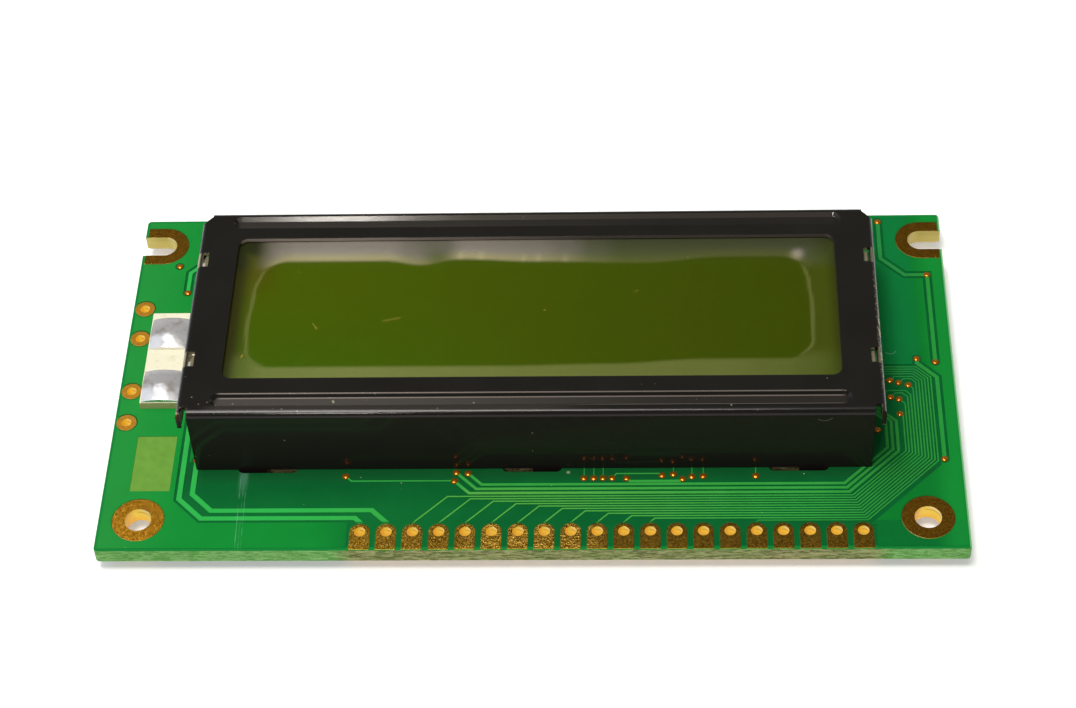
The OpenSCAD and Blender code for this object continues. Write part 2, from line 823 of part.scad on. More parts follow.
// Round ended trough, wider at its top
module trough(length, top_w, bottom_w, depth) {
    run = length - top_w;
    section = [[0, 0], [top_w / 2, 0], [bottom_w / 2, -depth], [0, -depth]];
    for (x = sides) translate([x * run / 2, 0]) rotate_extrude($fn = round_fn) polygon(section);
    translate([-run / 2, 0]) rotate([90, 0, 90]) linear_extrude(run) polygon([
        [-top_w / 2, 0], [top_w / 2, 0], [bottom_w / 2, -depth], [-bottom_w / 2, -depth]
    ]);
}

module at_grooves(z) {
    for (y = [groove_front_y, groove_rear_y]) translate([0, y, z]) children();
}

// Tab through the board, bent flat against its rear side
module tab_section() {
    drop = deck - rear_deck;
    inner_r = tab_bend_r - sheet_t;
    translate([0, -drop + inner_r]) square([sheet_t, drop - inner_r + eps]);
    translate([-inner_r, -drop + inner_r]) difference() {
        circle(r = tab_bend_r);
        circle(r = inner_r);
        translate([-tab_bend_r, 0]) square([2 * tab_bend_r, tab_bend_r]);
        translate([-tab_bend_r, -tab_bend_r]) square([tab_bend_r, 2 * tab_bend_r]);
    }
    translate([-tab_reach, -drop - sheet_t]) square([tab_reach - inner_r + eps, sheet_t]);
}

module tab_row() {
    for (s = tab_slots) translate([s[0] + s[1] * tab_shift - tab_w / 2, 0, deck])
        rotate([90, 0, 90]) linear_extrude(tab_w) tab_section();
}

// Strip of a skirt that is pushed in under its notch
module lance() {
    tip = bezel_side - lance_lean;
    translate([0, lance_w / 2, 0]) rotate([90, 0, 0]) linear_extrude(lance_w) polygon([
        [bezel_side - sheet_t, lance_foot], [bezel_side, lance_foot],
        [tip, lance_head], [tip - lance_tip_t, lance_head]
    ]);
}

module lance_cut() {
    translate([bezel_side - lance_slot_inset - lance_slot_d, -lance_w / 2, bezel_under - eps])
        cube([lance_slot_d, lance_w, sheet_t + 2 * eps]);
    translate([bezel_side - sheet_t - eps, -lance_w / 2, lance_foot])
        cube([sheet_t + 2 * eps, lance_w, lance_head - lance_foot]);
}

module at_lances() {
    for (x = [0, 1]) for (i = [0, 1]) mirror([x, 0, 0])
        translate([0, bezel_front + lance_setback + i * lance_pitch, 0]) children();
}

module bezel() color([0.12, 0.11, 0.1]) {
    groove_floor = groove_w * 0.55;
    difference() {
        union() {
            wall_channel();
            skirt_channel();
            back_corners();
            at_grooves(bezel_under + eps)
                trough(groove_l + sheet_t, groove_w + sheet_t, groove_floor + sheet_t, groove_depth + eps);
        }
        translate([0, window_y, bezel_under - eps]) linear_extrude(sheet_t + 2 * eps)
            rounded_rect(window_w, window_d, window_r);
        at_grooves(bezel_top) trough(groove_l, groove_w, groove_floor, groove_depth);
        at_lances() lance_cut();
    }
    at_lances() lance();
    translate([0, bezel_front, 0]) tab_row();
    translate([0, bezel_back, 0]) mirror([0, 1, 0]) tab_row();
}

// Display cell

// Flat plate with its lower face at z
module plate(w, d, t, y, z) {
    translate([-w / 2, y - d / 2, z]) cube([w, d, t]);
}

module protective_film() color([0.75, 0.8, 0.6, 0.4])
    plate(polariser_w - 2 * film_inset, polariser_d - 2 * film_inset, film_t, polariser_y, polariser_top);

module front_polariser() color([0.3, 0.38, 0.05])
    plate(polariser_w, polariser_d, polariser_t, polariser_y, front_glass_top);

module front_glass() color([0.6, 0.7, 0.5, 0.6])
    plate(glass_w, glass_d, glass_t, glass_y, front_glass_bottom);

module cell_seal() color("dimgray")
    translate([0, glass_y, rear_glass_top]) linear_extrude(cell_gap) difference() {
        square([rear_glass_w, rear_glass_d], center = true);
        square([rear_glass_w - 2 * seal_w, rear_glass_d - 2 * seal_w], center = true);
    }

module rear_glass() color([0.6, 0.7, 0.5, 0.6])
    plate(rear_glass_w, rear_glass_d, glass_t, glass_y, rear_glass_bottom);

module rear_polariser() color([0.5, 0.6, 0.1])
    plate(rear_glass_w - 2 * film_inset, rear_glass_d - 2 * film_inset, polariser_t, glass_y, diffuser_top);

module contact_strip(y) color("pink")
    plate(strip_l, strip_w, front_glass_bottom - deck, y, deck);

// Light box

module light_board() color("ivory") translate([0, 0, deck]) linear_extrude(light_board_t) {
    translate([-light_w / 2, light_front]) square([light_w, light_d]);
    translate([tongue_end, tongue_y - tongue_w / 2])
        square([-light_w / 2 - tongue_end + eps, tongue_w]);
}

module lamps() color("lemonchiffon") {
    lamp_size = [2, 1.25, 0.4];
    lens_r = 0.7;
    for (i = [0:lamp_columns - 1]) for (row = [-0.25, 0.25])
        translate([(i - (lamp_columns - 1) / 2) * lamp_pitch, light_y + row * light_d, light_board_top]) {
            translate([0, 0, lamp_size[2] / 2]) cube(lamp_size, center = true);
            intersection() {
                translate([0, 0, lamp_size[2] - 0.3]) sphere(r = lens_r);
                translate([0, 0, lamp_size[2] + lens_r / 2 - eps]) cube([2, 2, lens_r], center = true);
            }
        }
}

module reflector_frame() color("white")
    translate([0, light_y, light_board_top]) linear_extrude(diffuser_bottom - light_board_top)
        difference() {
            square([light_w, light_d], center = true);
            rounded_rect(light_w - 2 * reflector_wall, light_d - 2 * reflector_wall, reflector_wall);
        }

module diffuser() color("honeydew")
    plate(light_w, light_d, diffuser_t, light_y, diffuser_bottom);

// Pillow of solder on a land of the tongue
module solder(row) color("silver") {
    half = norm([solder_l, solder_w]) / 2;
    crown = solder_h - solder_edge_h;
    r = (half * half + crown * crown) / (2 * crown);
    translate([solder_x, solder_y + row * solder_pitch, light_board_top]) intersection() {
        translate([0, 0, solder_h - r]) sphere(r = r, $fn = 96);
        translate([0, 0, solder_h / 2]) cube([solder_l, solder_w, solder_h], center = true);
    }
}

// Rear side

// Drop of sealing resin over a driver chip, flat where the module rests on it
module driver(side) color([0.1, 0.1, 0.1]) {
    flat_r = glob_d * 0.3;
    reach = glob_d / 2 - flat_r;
    shoulder_r = (reach * reach + glob_h * glob_h) / (2 * glob_h);
    translate([side * glob_side, glob_y, board_bottom]) mirror([0, 0, 1]) rotate_extrude($fn = 96)
        intersection() {
            square([glob_d / 2, glob_h]);
            union() {
                square([flat_r, glob_h]);
                translate([flat_r, glob_h - shoulder_r]) circle(r = shoulder_r);
            }
        }
}

module chip_at(place) {
    translate([place[0], place[1], rear_deck]) children();
}

module chip_body(place, h) {
    chip_at(place) translate([-chip_w / 2, -chip_l / 2 + chip_end_l, -h])
        cube([chip_w, chip_l - 2 * chip_end_l, h]);
}

module resistor(i) color([0.15, 0.15, 0.17]) chip_body(resistor_at(i), resistor_h);

module capacitor(i) color([0.62, 0.5, 0.36]) chip_body(capacitor_at(i), capacitor_h);

module chip_ends() color("silver")
    for (c = chip_places) for (y = sides)
        chip_at(c[0]) translate([0, y * (chip_l - chip_end_l) / 2, -c[1] / 2])
            cube([chip_w, chip_end_l, c[1]], center = true);

module chip_lands() color("silver")
    translate([0, 0, rear_deck]) linear_extrude(copper_t) chip_land_shapes();

circuit_board();
front_copper_area();
front_conductors();
rear_copper_area();
rear_conductors();
terminals();
through_connections();
light_box_holes();
mounting_land(-1);  // mounting_land_left
mounting_land(1);  // mounting_land_right
mirror([1, 0, 0]) slot_land();  // slot_land_left
slot_land();  // slot_land_right
contact_fingers(groove_front_y);  // contact_fingers_front
contact_fingers(groove_rear_y);  // contact_fingers_rear
bezel();
protective_film();
front_polariser();
front_glass();
cell_seal();
rear_glass();
rear_polariser();
contact_strip(groove_front_y);  // contact_strip_front
contact_strip(groove_rear_y);  // contact_strip_rear
light_board();
lamps();
reflector_frame();
diffuser();
solder(1);  // solder_upper
solder(0);  // solder_lower
driver(-1);  // driver_left
driver(1);  // driver_right
chip_ends();
chip_lands();
for (i = [1:resistor_count]) resistor(i);
for (i = [1:capacitor_count]) capacitor(i);
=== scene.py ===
"""Looks of the graphic display module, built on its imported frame.

Lengths are millimetres, but for those that a comment gives in metres.
"""
import json
import math

import bmesh
import bpy
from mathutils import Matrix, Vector


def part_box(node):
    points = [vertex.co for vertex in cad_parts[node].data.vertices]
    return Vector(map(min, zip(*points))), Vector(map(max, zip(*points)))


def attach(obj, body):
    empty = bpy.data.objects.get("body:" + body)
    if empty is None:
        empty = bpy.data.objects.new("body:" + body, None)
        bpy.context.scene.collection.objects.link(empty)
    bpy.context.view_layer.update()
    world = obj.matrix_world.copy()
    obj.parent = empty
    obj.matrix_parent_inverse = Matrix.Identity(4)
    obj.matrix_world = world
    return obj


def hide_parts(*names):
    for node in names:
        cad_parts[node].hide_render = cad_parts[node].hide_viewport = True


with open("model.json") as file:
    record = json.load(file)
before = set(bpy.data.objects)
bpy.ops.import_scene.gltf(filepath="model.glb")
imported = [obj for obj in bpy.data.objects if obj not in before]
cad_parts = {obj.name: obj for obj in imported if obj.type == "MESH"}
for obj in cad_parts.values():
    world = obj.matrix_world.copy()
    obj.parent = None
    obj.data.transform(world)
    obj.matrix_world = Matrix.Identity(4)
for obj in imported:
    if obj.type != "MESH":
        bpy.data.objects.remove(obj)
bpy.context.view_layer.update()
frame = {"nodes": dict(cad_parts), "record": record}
NODES = frame["nodes"]
MM = 0.001

# Places on the board and on the bezel
WINDOW_LOW = (-30.1, -7.46)
WINDOW_HIGH = (30.1, 11.19)
LEGEND_LOW = (-39.4, -14.7)
LEGEND_HIGH = (-35.45, -7.75)
BEZEL_SIDE = 34.1
BEZEL_FRONT = -12.06
BEZEL_TOP = 11.4
SHEET = 0.4
SKIRT_FOOT = 9.2
GROOVE_FRONT = -10.21
GROOVE_REACH = 0.8
GROOVE_FLOOR = 0.44
GROOVE_END = 30.4
LANCES_Y = (-4.91, 8.39)
LANCE_HALF = 0.98
LANCE_TIP = (32.9, 33.37)
LANCE_LEAN = (33.35, 33.74)
LANCE_LIP = (33.66, 33.86)
BOARD_SIDE = 42.0
BOARD_EDGE = 22.0
BOARD_TOP = 2.9
# Wear and dust at places of their own: a thread and a dot on the board, a fleck on the bezel, a hair on its
# front wall, scratches along its right edge, and marks on the film with their width and strength
THREAD = [(35.28, 2.66), (35.73, 2.48), (36.04, 2.52), (36.33, 2.85)]
DUST_DOT = ((3.5, -12.55), (3.6, -12.55))
BEZEL_FLECK = ((-18.95, -10.1), (-18.85, -10.35))
HAIR = ((28.2, 10.9), 0.9, 0.03, (27.6, 9.8), (29.0, 10.4))
SCRATCHES = [((33.86, 0.0), (34.05, -0.85)), ((33.75, -1.25), (34.05, -2.4)), ((33.8, -1.3), (34.05, -2.0)),
             ((33.78, -4.4), (33.95, -5.6)), ((33.9, -4.5), (34.05, -5.3))]
FILM_MARKS = [
    ((-21.75, 0.1), (-21.3, -0.75), 0.1, 0.17),
    ((-21.6, -0.2), (-21.2, -0.6), 0.08, 0.17),
    ((-14.85, 0.3), (-13.05, 0.75), 0.22, 0.09),
    ((10.0, 4.0), (10.5, 4.2), 0.2, 0.06),
    ((-28.45, -4.4), (-28.3, -4.0), 0.1, 0.45),
    ((1.15, 1.6), (1.25, 1.65), 0.11, 0.4),
]
# Rub marks on the board: left side, right side and softness of each, where they start and their slant
RUB_LINES = [(-28.62, -28.55, 0.04), (-28.29, -28.25, 0.03), (-28.04, -27.99, 0.03)]
RUB_START = -12.5
RUB_SLANT = 0.027
# How much a face has to look up to start and to end counting as flat
FLAT = (0.4, 0.6)
# Smallest and largest speck, as shares of the radius asked for
SPECK_RANGE = (0.3, 1.4)
ARC_SOFT = 0.02
BEVEL_SAMPLES = 2


def srgb(red, green, blue):
    """A colour as it shows on a screen, 0 to 255, as the linear colour that a socket takes."""
    def linear(value):
        value /= 255
        return value / 12.92 if value <= 0.04045 else ((value + 0.055) / 1.055) ** 2.4
    return (linear(red), linear(green), linear(blue), 1.0)


class Look:
    """A Principled material, with short calls for the nodes that feed it."""

    SOCKETS = {
        "color": "Base Color",
        "metallic": "Metallic",
        "roughness": "Roughness",
        "specular": "Specular IOR Level",
        "normal": "Normal",
        "alpha": "Alpha",
        "emission": "Emission Color",
        "emission_strength": "Emission Strength",
    }

    def __init__(self, name, **sockets):
        self.material = bpy.data.materials.new(name)
        self.material.use_nodes = True
        # The glows in this file are faint, so they are not sampled as lamps
        self.material.cycles.emission_sampling = "NONE"
        self.tree = self.material.node_tree
        self.shader = self.tree.nodes["Principled BSDF"]
        self.set(**sockets)
        spot = self.node("TexCoord").outputs["Object"]
        self.place = self.node("VectorMath", {"operation": "SCALE"}, {0: spot, "Scale": 1 / MM}).outputs[0]
        self.x, self.y, self.z = self.node("SeparateXYZ", {}, {0: self.place}).outputs
        facing = self.node("NewGeometry").outputs["Normal"]
        self.facing_x, self.facing_y, self.facing_z = self.node("SeparateXYZ", {}, {0: facing}).outputs

    def feed(self, socket, value):
        """Links an output to a socket, or sets the socket to a plain value."""
        if isinstance(value, bpy.types.NodeSocket):
            self.tree.links.new(value, socket)
        else:
            socket.default_value = value

    def node(self, kind, attributes=None, inputs=None):
        """A new node with its attributes set and its inputs fed."""
        made = self.tree.nodes.new("ShaderNode" + kind)
        for name, value in (attributes or {}).items():
            setattr(made, name, value)
        for name, value in (inputs or {}).items():
            self.feed(made.inputs[name], value)
        return made

    def set(self, **sockets):
        """Feeds sockets of the Principled shader, by their short names."""
        for name, value in sockets.items():
            self.feed(self.shader.inputs[self.SOCKETS[name]], value)

    def math(self, operation, first, second=0.0):
        return self.node("Math", {"operation": operation}, {0: first, 1: second}).outputs[0]

    def times(self, *values):
        product = values[0]
        for value in values[1:]:
            product = self.math("MULTIPLY", product, value)
        return product

    def most(self, *values):
        result = values[0]
        for value in values[1:]:
            result = self.math("MAXIMUM", result, value)
        return result

    def smooth(self, value, low, high):
        """0 at low and 1 at high, with a soft passage. low may be the larger."""
        ends = {"Value": value, "From Min": low, "From Max": high}
        return self.node("MapRange", {"interpolation_type": "SMOOTHSTEP"}, ends).outputs["Result"]

    def spread(self, value, low, high):
        """0 to 1 taken to low to high."""
        ends = {"Value": value, "To Min": low, "To Max": high}
        return self.node("MapRange", {}, ends).outputs["Result"]

    def band(self, value, low, high, soft):
        """1 between low and high."""
        rising = self.smooth(value, low - soft, low + soft)
        return self.times(rising, self.smooth(value, high + soft, high - soft))

    def box(self, low, high, soft):
        """1 inside a rectangle seen from above."""
        along = self.band(self.x, low[0], high[0], soft)
        return self.times(along, self.band(self.y, low[1], high[1], soft))

    def upward(self):
        """1 on faces that look up."""
        return self.smooth(self.facing_z, *FLAT)

    def level(self):
        """1 on faces that look up or down."""
        return self.smooth(self.math("ABSOLUTE", self.facing_z), *FLAT)

    def noise(self, size, detail=2.0, roughness=0.5):
        """0 to 1, with features of about that size: one length, or one along each axis."""
        sizes = size if isinstance(size, tuple) else (size,) * 3
        scale = [1 / s for s in sizes]
        spot = self.node("VectorMath", {"operation": "MULTIPLY"}, {0: self.place, 1: scale}).outputs[0]
        inputs = {"Vector": spot, "Scale": 1.0, "Detail": detail, "Roughness": roughness}
        return self.node("TexNoise", {}, inputs).outputs[0]

    def specks(self, spacing, radius, share):
        """1 in small round spots, in a share of cells of that spacing."""
        inputs = {"Vector": self.place, "Scale": 1 / spacing}
        cells = self.node("TexVoronoi", {}, inputs)
        picked = self.node("SeparateColor", {}, {0: cells.outputs["Color"]}).outputs
        limit = self.spread(picked[1], *(size * radius / spacing for size in SPECK_RANGE))
        near = self.math("LESS_THAN", cells.outputs["Distance"], limit)
        return self.times(near, self.math("LESS_THAN", picked[0], share))

    def weave(self, pitch):
        """0 to 1, a plain weave of threads along X and Y."""
        waves = [self.math("SINE", self.times(axis, 2 * math.pi / pitch)) for axis in (self.x, self.y)]
        return self.spread(self.times(*waves), 0.5, 1.0)

    def arc(self, centre, radius, width, low, high):
        """1 along a thin arc seen from the front, in X and Z, inside a box."""
        dx = self.math("SUBTRACT", self.x, centre[0])
        dz = self.math("SUBTRACT", self.z, centre[1])
        reach = self.math("SQRT", self.math("ADD", self.times(dx, dx), self.times(dz, dz)))
        off = self.math("ABSOLUTE", self.math("SUBTRACT", reach, radius))
        along = self.band(self.x, low[0], high[0], ARC_SOFT)
        inside = self.times(along, self.band(self.z, low[1], high[1], ARC_SOFT))
        return self.times(self.smooth(off, width, width / 3), inside)

    def stroke(self, start, end, width):
        """1 along a fine straight mark seen from above."""
        run = (end[0] - start[0], end[1] - start[1])
        length = math.hypot(*run)
        dx, dy = (self.math("SUBTRACT", axis, at) for axis, at in zip((self.x, self.y), start))
        along = self.math("ADD", self.times(dx, run[0] / length), self.times(dy, run[1] / length))
        off = self.math("SUBTRACT", self.times(dx, run[1] / length), self.times(dy, run[0] / length))
        inside = self.band(along, 0.0, length, width)
        return self.times(self.smooth(self.math("ABSOLUTE", off), width, width / 3), inside)

    def mix(self, share, first, second):
        """The first colour at a share of 0 and the second at 1."""
        made = self.node("Mix", {"data_type": "RGBA"}, {0: share, 6: first, 7: second})
        return made.outputs[2]

    def bump(self, height, depth, normal=None):
        inputs = {"Height": height, "Distance": depth * MM}
        if normal:
            inputs["Normal"] = normal
        return self.node("Bump", {}, inputs).outputs["Normal"]

    def rounded(self, radius):
        """The facing of the surface with its edges rounded."""
        return self.node("Bevel", {"samples": BEVEL_SAMPLES}, {"Radius": radius * MM}).outputs[0]


def scuffed(look, color):
    """Pale rub marks across the front of the board, and dust, on the face that looks up."""
    up = look.upward()
    slant = look.times(look.math("SUBTRACT", look.y, RUB_START), RUB_SLANT)
    across = look.math("ADD", look.x, slant)
    lines = look.most(*(look.band(across, *line) for line in RUB_LINES))
    broken = look.smooth(look.noise((0.3, 1.4, 1.0), 3), 0.35, 0.65)
    marks = look.times(lines, broken, look.band(look.y, -21.8, RUB_START, 0.4), 0.34)
    thread = look.most(*(look.stroke(*ends, 0.05) for ends in zip(THREAD, THREAD[1:])))
    haze = look.times(look.band(look.x, -28.7, -27.9, 0.25), look.band(look.y, -14.1, -11.5, 1.9), 0.2)
    pale = look.most(marks, haze, look.times(thread, 0.4))
    color = look.mix(look.times(pale, up), color, srgb(150, 215, 190))
    near_wall = look.band(look.y, BEZEL_FRONT - 2.6, BEZEL_FRONT, 0.6)
    dust = look.most(
        look.times(look.specks(1.7, 0.05, 0.16), 0.75),
        look.times(look.specks(0.8, 0.045, 0.22), near_wall, 0.6),
        look.stroke(*DUST_DOT, 0.22),
    )
    return look.mix(look.times(dust, up), color, srgb(214, 222, 186))


def laminate():
    """Green mask on the flat faces of the board, and bare fibres on its edges."""
    look = Look("laminate", specular=0.05, roughness=0.3)
    mottle = look.noise(4.0, 3)
    mask = look.mix(mottle, srgb(5, 84, 40), srgb(15, 108, 50))
    mask = look.mix(look.times(look.weave(0.5), 0.15), mask, srgb(20, 124, 60))
    near_pads = look.times(look.smooth(look.y, -14.0, -17.8), look.smooth(look.x, 0.0, -14.0), 0.35)
    mask = look.mix(near_pads, mask, srgb(18, 126, 54))
    # Painted shade: a darker band on the board just in front of the bezel's front wall, which shades it
    mask = look.mix(look.times(look.band(look.y, -13.4, -12.0, 0.7), 0.4), mask, srgb(24, 74, 38))
    rim = look.most(look.smooth(look.math("ABSOLUTE", look.x), BOARD_SIDE - 0.5, BOARD_SIDE - 0.3),
                    look.smooth(look.math("ABSOLUTE", look.y), BOARD_EDGE - 0.5, BOARD_EDGE - 0.3))
    mask = look.mix(look.times(rim, 0.8), mask, srgb(24, 140, 60))
    # Painted highlight: a pale line along the board's right edge
    right_rim_highlight = look.smooth(look.x, BOARD_SIDE - 0.22, BOARD_SIDE - 0.08)
    mask = look.mix(look.times(right_rim_highlight, 0.75), mask, srgb(150, 214, 150))
    pale = look.mix(look.noise(0.9, 3), srgb(100, 150, 54), srgb(124, 174, 74))
    mask = look.mix(look.box(LEGEND_LOW, LEGEND_HIGH, 0.05), mask, pale)
    mask = scuffed(look, mask)
    fibres = look.smooth(look.noise((0.9, 0.9, 0.15), 4, 0.65), 0.38, 0.62)
    threads = look.noise((0.3, 0.3, 0.12), 2)
    green = look.mix(fibres, srgb(102, 178, 82), srgb(156, 218, 132))
    brown = look.mix(fibres, srgb(108, 95, 56), srgb(200, 189, 134))
    under_pads = look.times(look.band(look.x, -18.0, 33.6, 1.5), look.spread(look.noise(3.0, 2), 0.55, 1.0))
    inset = (BOARD_SIDE - 0.4, BOARD_EDGE - 0.3)
    inner = look.box([-at for at in inset], inset, 0.1)
    edge = look.mix(look.most(under_pads, inner), green, brown)
    edge = look.mix(look.times(look.smooth(threads, 0.55, 0.75), 0.45), edge, srgb(206, 208, 186))
    flat = look.level()
    rough = look.spread(flat, 0.75, 0.3)
    relief = look.math("ADD", look.times(fibres, 0.6), look.times(threads, 0.4))
    relief = look.times(relief, look.math("SUBTRACT", 1.0, flat))
    look.set(color=look.mix(flat, edge, mask), roughness=rough, normal=look.bump(relief, 0.06))
    return look.material


def covered_copper(name, dark, light, flow, glow):
    """Copper under the green mask, with painted light: brighter to the left by a share, darker to the right.
    """
    look = Look(name, specular=0.05, roughness=0.28)
    up = look.upward()
    color = look.mix(look.noise(flow, 3), dark, light)
    # Painted shade: darker towards the right, away from the light
    color = look.mix(look.times(look.smooth(look.x, 26.0, 36.0), 0.36), color, srgb(4, 78, 34))
    teal = look.times(look.band(look.x, 34.0, 38.6, 0.8), look.smooth(look.y, -6.0, -2.0), up, 0.3)
    color = look.mix(teal, color, srgb(18, 118, 86))
    # Painted light: brighter towards the left, by the share given
    color = look.mix(look.times(look.smooth(look.x, -8.0, -24.0), glow), color, srgb(30, 204, 94))
    fading = look.times(look.smooth(look.x, -22.0, -15.5), look.smooth(look.y, -18.5, -18.62), up, 0.85)
    color = look.mix(fading, color, srgb(9, 102, 47))
    color = look.mix(look.times(look.smooth(look.x, 38.4, 40.8), 0.5), color, srgb(30, 158, 62))
    # Painted sheen: paler at the far left of the board
    color = look.mix(look.times(look.smooth(look.x, -33.0, -42.0), 0.05), color, srgb(150, 226, 150))
    color = look.mix(look.times(look.noise(0.35, 3), 0.25), color, light)
    # Painted light: a pale yellow-green band across the front, fading out to the right
    painted_light_band = look.times(look.band(look.y, -18.8, -14.6, 0.4), look.smooth(look.x, 28.0, -2.0), up, 0.2)
    color = look.mix(look.times(painted_light_band, look.smooth(look.x, -13.4, -12.6)), color, srgb(150, 205, 85))
    look.set(color=scuffed(look, color), normal=look.bump(look.noise(0.8, 3), 0.008))
    return look.material


def gold():
    """Pitted, worn gold plate with painted glints, and walls in the holes lit by painted light and glow."""
    look = Look("gold")
    pits = look.noise(0.1, 4, 0.75)
    grain = look.noise(0.05, 2)
    scratches = look.smooth(look.noise((0.7, 0.07, 1.0), 3, 0.6), 0.5, 0.66)
    top = look.mix(look.smooth(pits, 0.38, 0.62), srgb(164, 110, 18), srgb(255, 206, 80))
    mottle = look.smooth(look.noise(0.26, 3, 0.75), 0.42, 0.62)
    top = look.mix(look.times(mottle, 0.5), top, srgb(116, 72, 6))
    flecks = look.most(look.specks(0.28, 0.08, 0.4), look.times(look.specks(0.16, 0.055, 0.4), 0.7))
    fewer = look.spread(look.smooth(look.x, 4.0, 9.0), 1.0, 0.3)
    flecks = look.times(flecks, look.band(look.x, -28.0, 30.0, 1.0), fewer)
    rubbed = look.times(look.band(look.x, -5.5, 6.5, 2.0), scratches, look.smooth(pits, 0.34, 0.6))
    # Flecks and rubbed scratches are wear, made pale and less metallic as painted glints
    bright = look.most(look.times(flecks, 0.55), look.times(rubbed, 0.95))
    # Painted reflection: the lands at the far left made brighter and less metallic
    left = look.times(look.smooth(look.x, -33.0, -36.0), look.band(look.y, -14.0, 11.0, 1.0),
                      look.spread(pits, 0.45, 0.9))
    outer = look.smooth(look.math("ABSOLUTE", look.x), 33.0, 36.0)
    top = look.mix(look.times(outer, 0.35), top, srgb(206, 124, 4))
    top = look.mix(bright, top, srgb(236, 188, 88))
    top = look.mix(left, top, srgb(216, 150, 40))
    relief = look.math("ADD", pits, look.times(look.math("ADD", grain, look.times(rubbed, 2.0)), 0.5))
    # Painted light and shade in the holes: walls paler near the top, darker deeper down and where they face
    # away from the light
    sunlit = look.math("SUBTRACT", 0.25, look.facing_x)
    depth = look.smooth(look.z, BOARD_TOP - 1.8, BOARD_TOP - 0.3)
    wall = look.mix(depth, srgb(246, 194, 36), srgb(255, 232, 88))
    wall = look.mix(look.times(look.smooth(sunlit, 0.1, -0.6), 0.6), wall, srgb(240, 172, 40))
    brim = look.smooth(look.z, BOARD_TOP - 0.45, BOARD_TOP - 0.1)
    # Painted highlight: a pale crescent at the brim, on the walls that face the light
    lip = look.times(brim, look.smooth(sunlit, 0.2, 0.6))
    wall = look.mix(lip, wall, srgb(255, 246, 180))
    # Painted shade: a darker line under that crescent
    under_lip = look.band(look.z, BOARD_TOP - 0.5, BOARD_TOP - 0.36, 0.07)
    shade_ring = look.times(under_lip, look.smooth(sunlit, -0.1, 0.3))
    wall = look.mix(look.times(shade_ring, 0.55), wall, srgb(188, 118, 20))
    slots = look.smooth(look.y, 10.0, 13.0)
    wall = look.mix(look.times(slots, 0.8), wall, srgb(205, 192, 110))
    flat = look.level()
    dull = look.times(look.most(look.times(bright, 0.75), look.times(left, 0.8)), flat)
    look.set(
        color=look.mix(flat, wall, top),
        metallic=look.math("SUBTRACT", look.spread(flat, 0.2, 1.0), dull),
        roughness=look.spread(pits, 0.14, 0.27),
        normal=look.bump(relief, 0.006, look.rounded(0.08)),
        # Painted glow: the hole walls give off faint light of their own colour, less in the slots
        emission=wall,
        emission_strength=look.times(look.spread(flat, 0.17, 0.0), look.spread(slots, 1.0, 0.35)),
    )
    return look.material


def via():
    """Copper that shines through the mask over a through connection."""
    look = Look("via", metallic=0.7, roughness=0.2, specular=0.5)
    look.set(color=look.mix(look.noise(0.2, 3), srgb(170, 92, 8), srgb(236, 150, 34)))
    look.set(normal=look.bump(look.noise(0.15, 2), 0.02))
    return look.material


def groove_paint(look, paint):
    """The bezel's paint with painted light: paler grooves, front strip and walls, and painted highlights on
    the lips.
    """
    topside = look.smooth(look.facing_z, 0.9, 0.98)
    rightward = look.smooth(look.x, -20.0, 20.0)
    in_front = look.smooth(look.y, 0.0, -5.0)
    below = look.smooth(look.z, BEZEL_TOP - 0.1, BEZEL_TOP - 0.3)
    sunk = look.times(below, look.band(look.x, -GROOVE_END, GROOVE_END, 0.4))
    # Painted reflection: groove floors paler, most to the left and towards the front
    floor_reflection = look.times(sunk, topside, look.spread(rightward, 1.0, 0.2), look.spread(in_front, 0.4, 1.0))
    paint = look.mix(look.times(floor_reflection, 0.9), paint, srgb(80, 75, 70))
    brow = GROOVE_FRONT - GROOVE_REACH
    crown = GROOVE_FRONT + GROOVE_REACH
    bottom = GROOVE_FRONT + GROOVE_FLOOR
    # Painted reflection: the strip between the front groove and the front bend paler, fading out to the right
    strip = look.times(look.band(look.y, BEZEL_FRONT, brow, 0.05), look.smooth(look.x, 8.0, 0.0), topside)
    strip = look.times(strip, look.band(look.x, -31.0, 31.0, 1.0), 0.8)
    paint = look.mix(strip, paint, srgb(58, 53, 48))
    # Painted highlights along the groove lips, fading towards the right
    lip_highlights = look.most(
        look.times(look.band(look.y, brow - 0.05, brow + 0.03, 0.03), look.smooth(look.x, 2.0, 10.0), 0.8),
        look.band(look.y, crown - 0.06, crown + 0.04, 0.03),
        look.band(look.y, bottom - 0.05, bottom + 0.05, 0.03),
    )
    lip_end = GROOVE_END - 0.3
    lip_highlights = look.times(lip_highlights, look.band(look.x, -lip_end, lip_end, 0.35), look.spread(rightward, 0.95, 0.65))
    paint = look.mix(look.times(lip_highlights, look.smooth(look.facing_z, 0.5, 0.6)), paint, srgb(146, 136, 128))
    # Painted reflection: the rear groove's front-facing wall paler, fading towards the right
    rear_wall_reflection = look.times(look.smooth(look.facing_y, -0.4, -0.6), look.smooth(look.facing_z, 0.3, 0.5),
                           look.smooth(look.y, 10.0, 11.0), look.spread(rightward, 0.9, 0.5))
    paint = look.mix(rear_wall_reflection, paint, srgb(84, 77, 71))
    # Painted light: faces that look to the front get a paler, redder tone
    return look.mix(look.smooth(look.facing_y, -0.85, -0.95), paint, srgb(39, 33, 33))


def bezel_dust(look, paint):
    """Dust on the bezel, and a hair on its front wall."""
    near_front = look.band(look.y, BEZEL_FRONT + 0.1, BEZEL_FRONT + 2.3, 0.1)
    dust = look.most(
        look.times(look.specks(1.5, 0.05, 0.2), 0.7),
        look.times(look.specks(0.8, 0.07, 0.4), near_front, 0.55),
        look.stroke(*BEZEL_FLECK, 0.15),
    )
    paint = look.mix(dust, paint, srgb(170, 168, 150))
    hair = look.times(look.arc(*HAIR), look.smooth(look.y, BEZEL_FRONT + 0.16, BEZEL_FRONT + 0.06), 0.5)
    return look.mix(hair, paint, srgb(170, 165, 150))


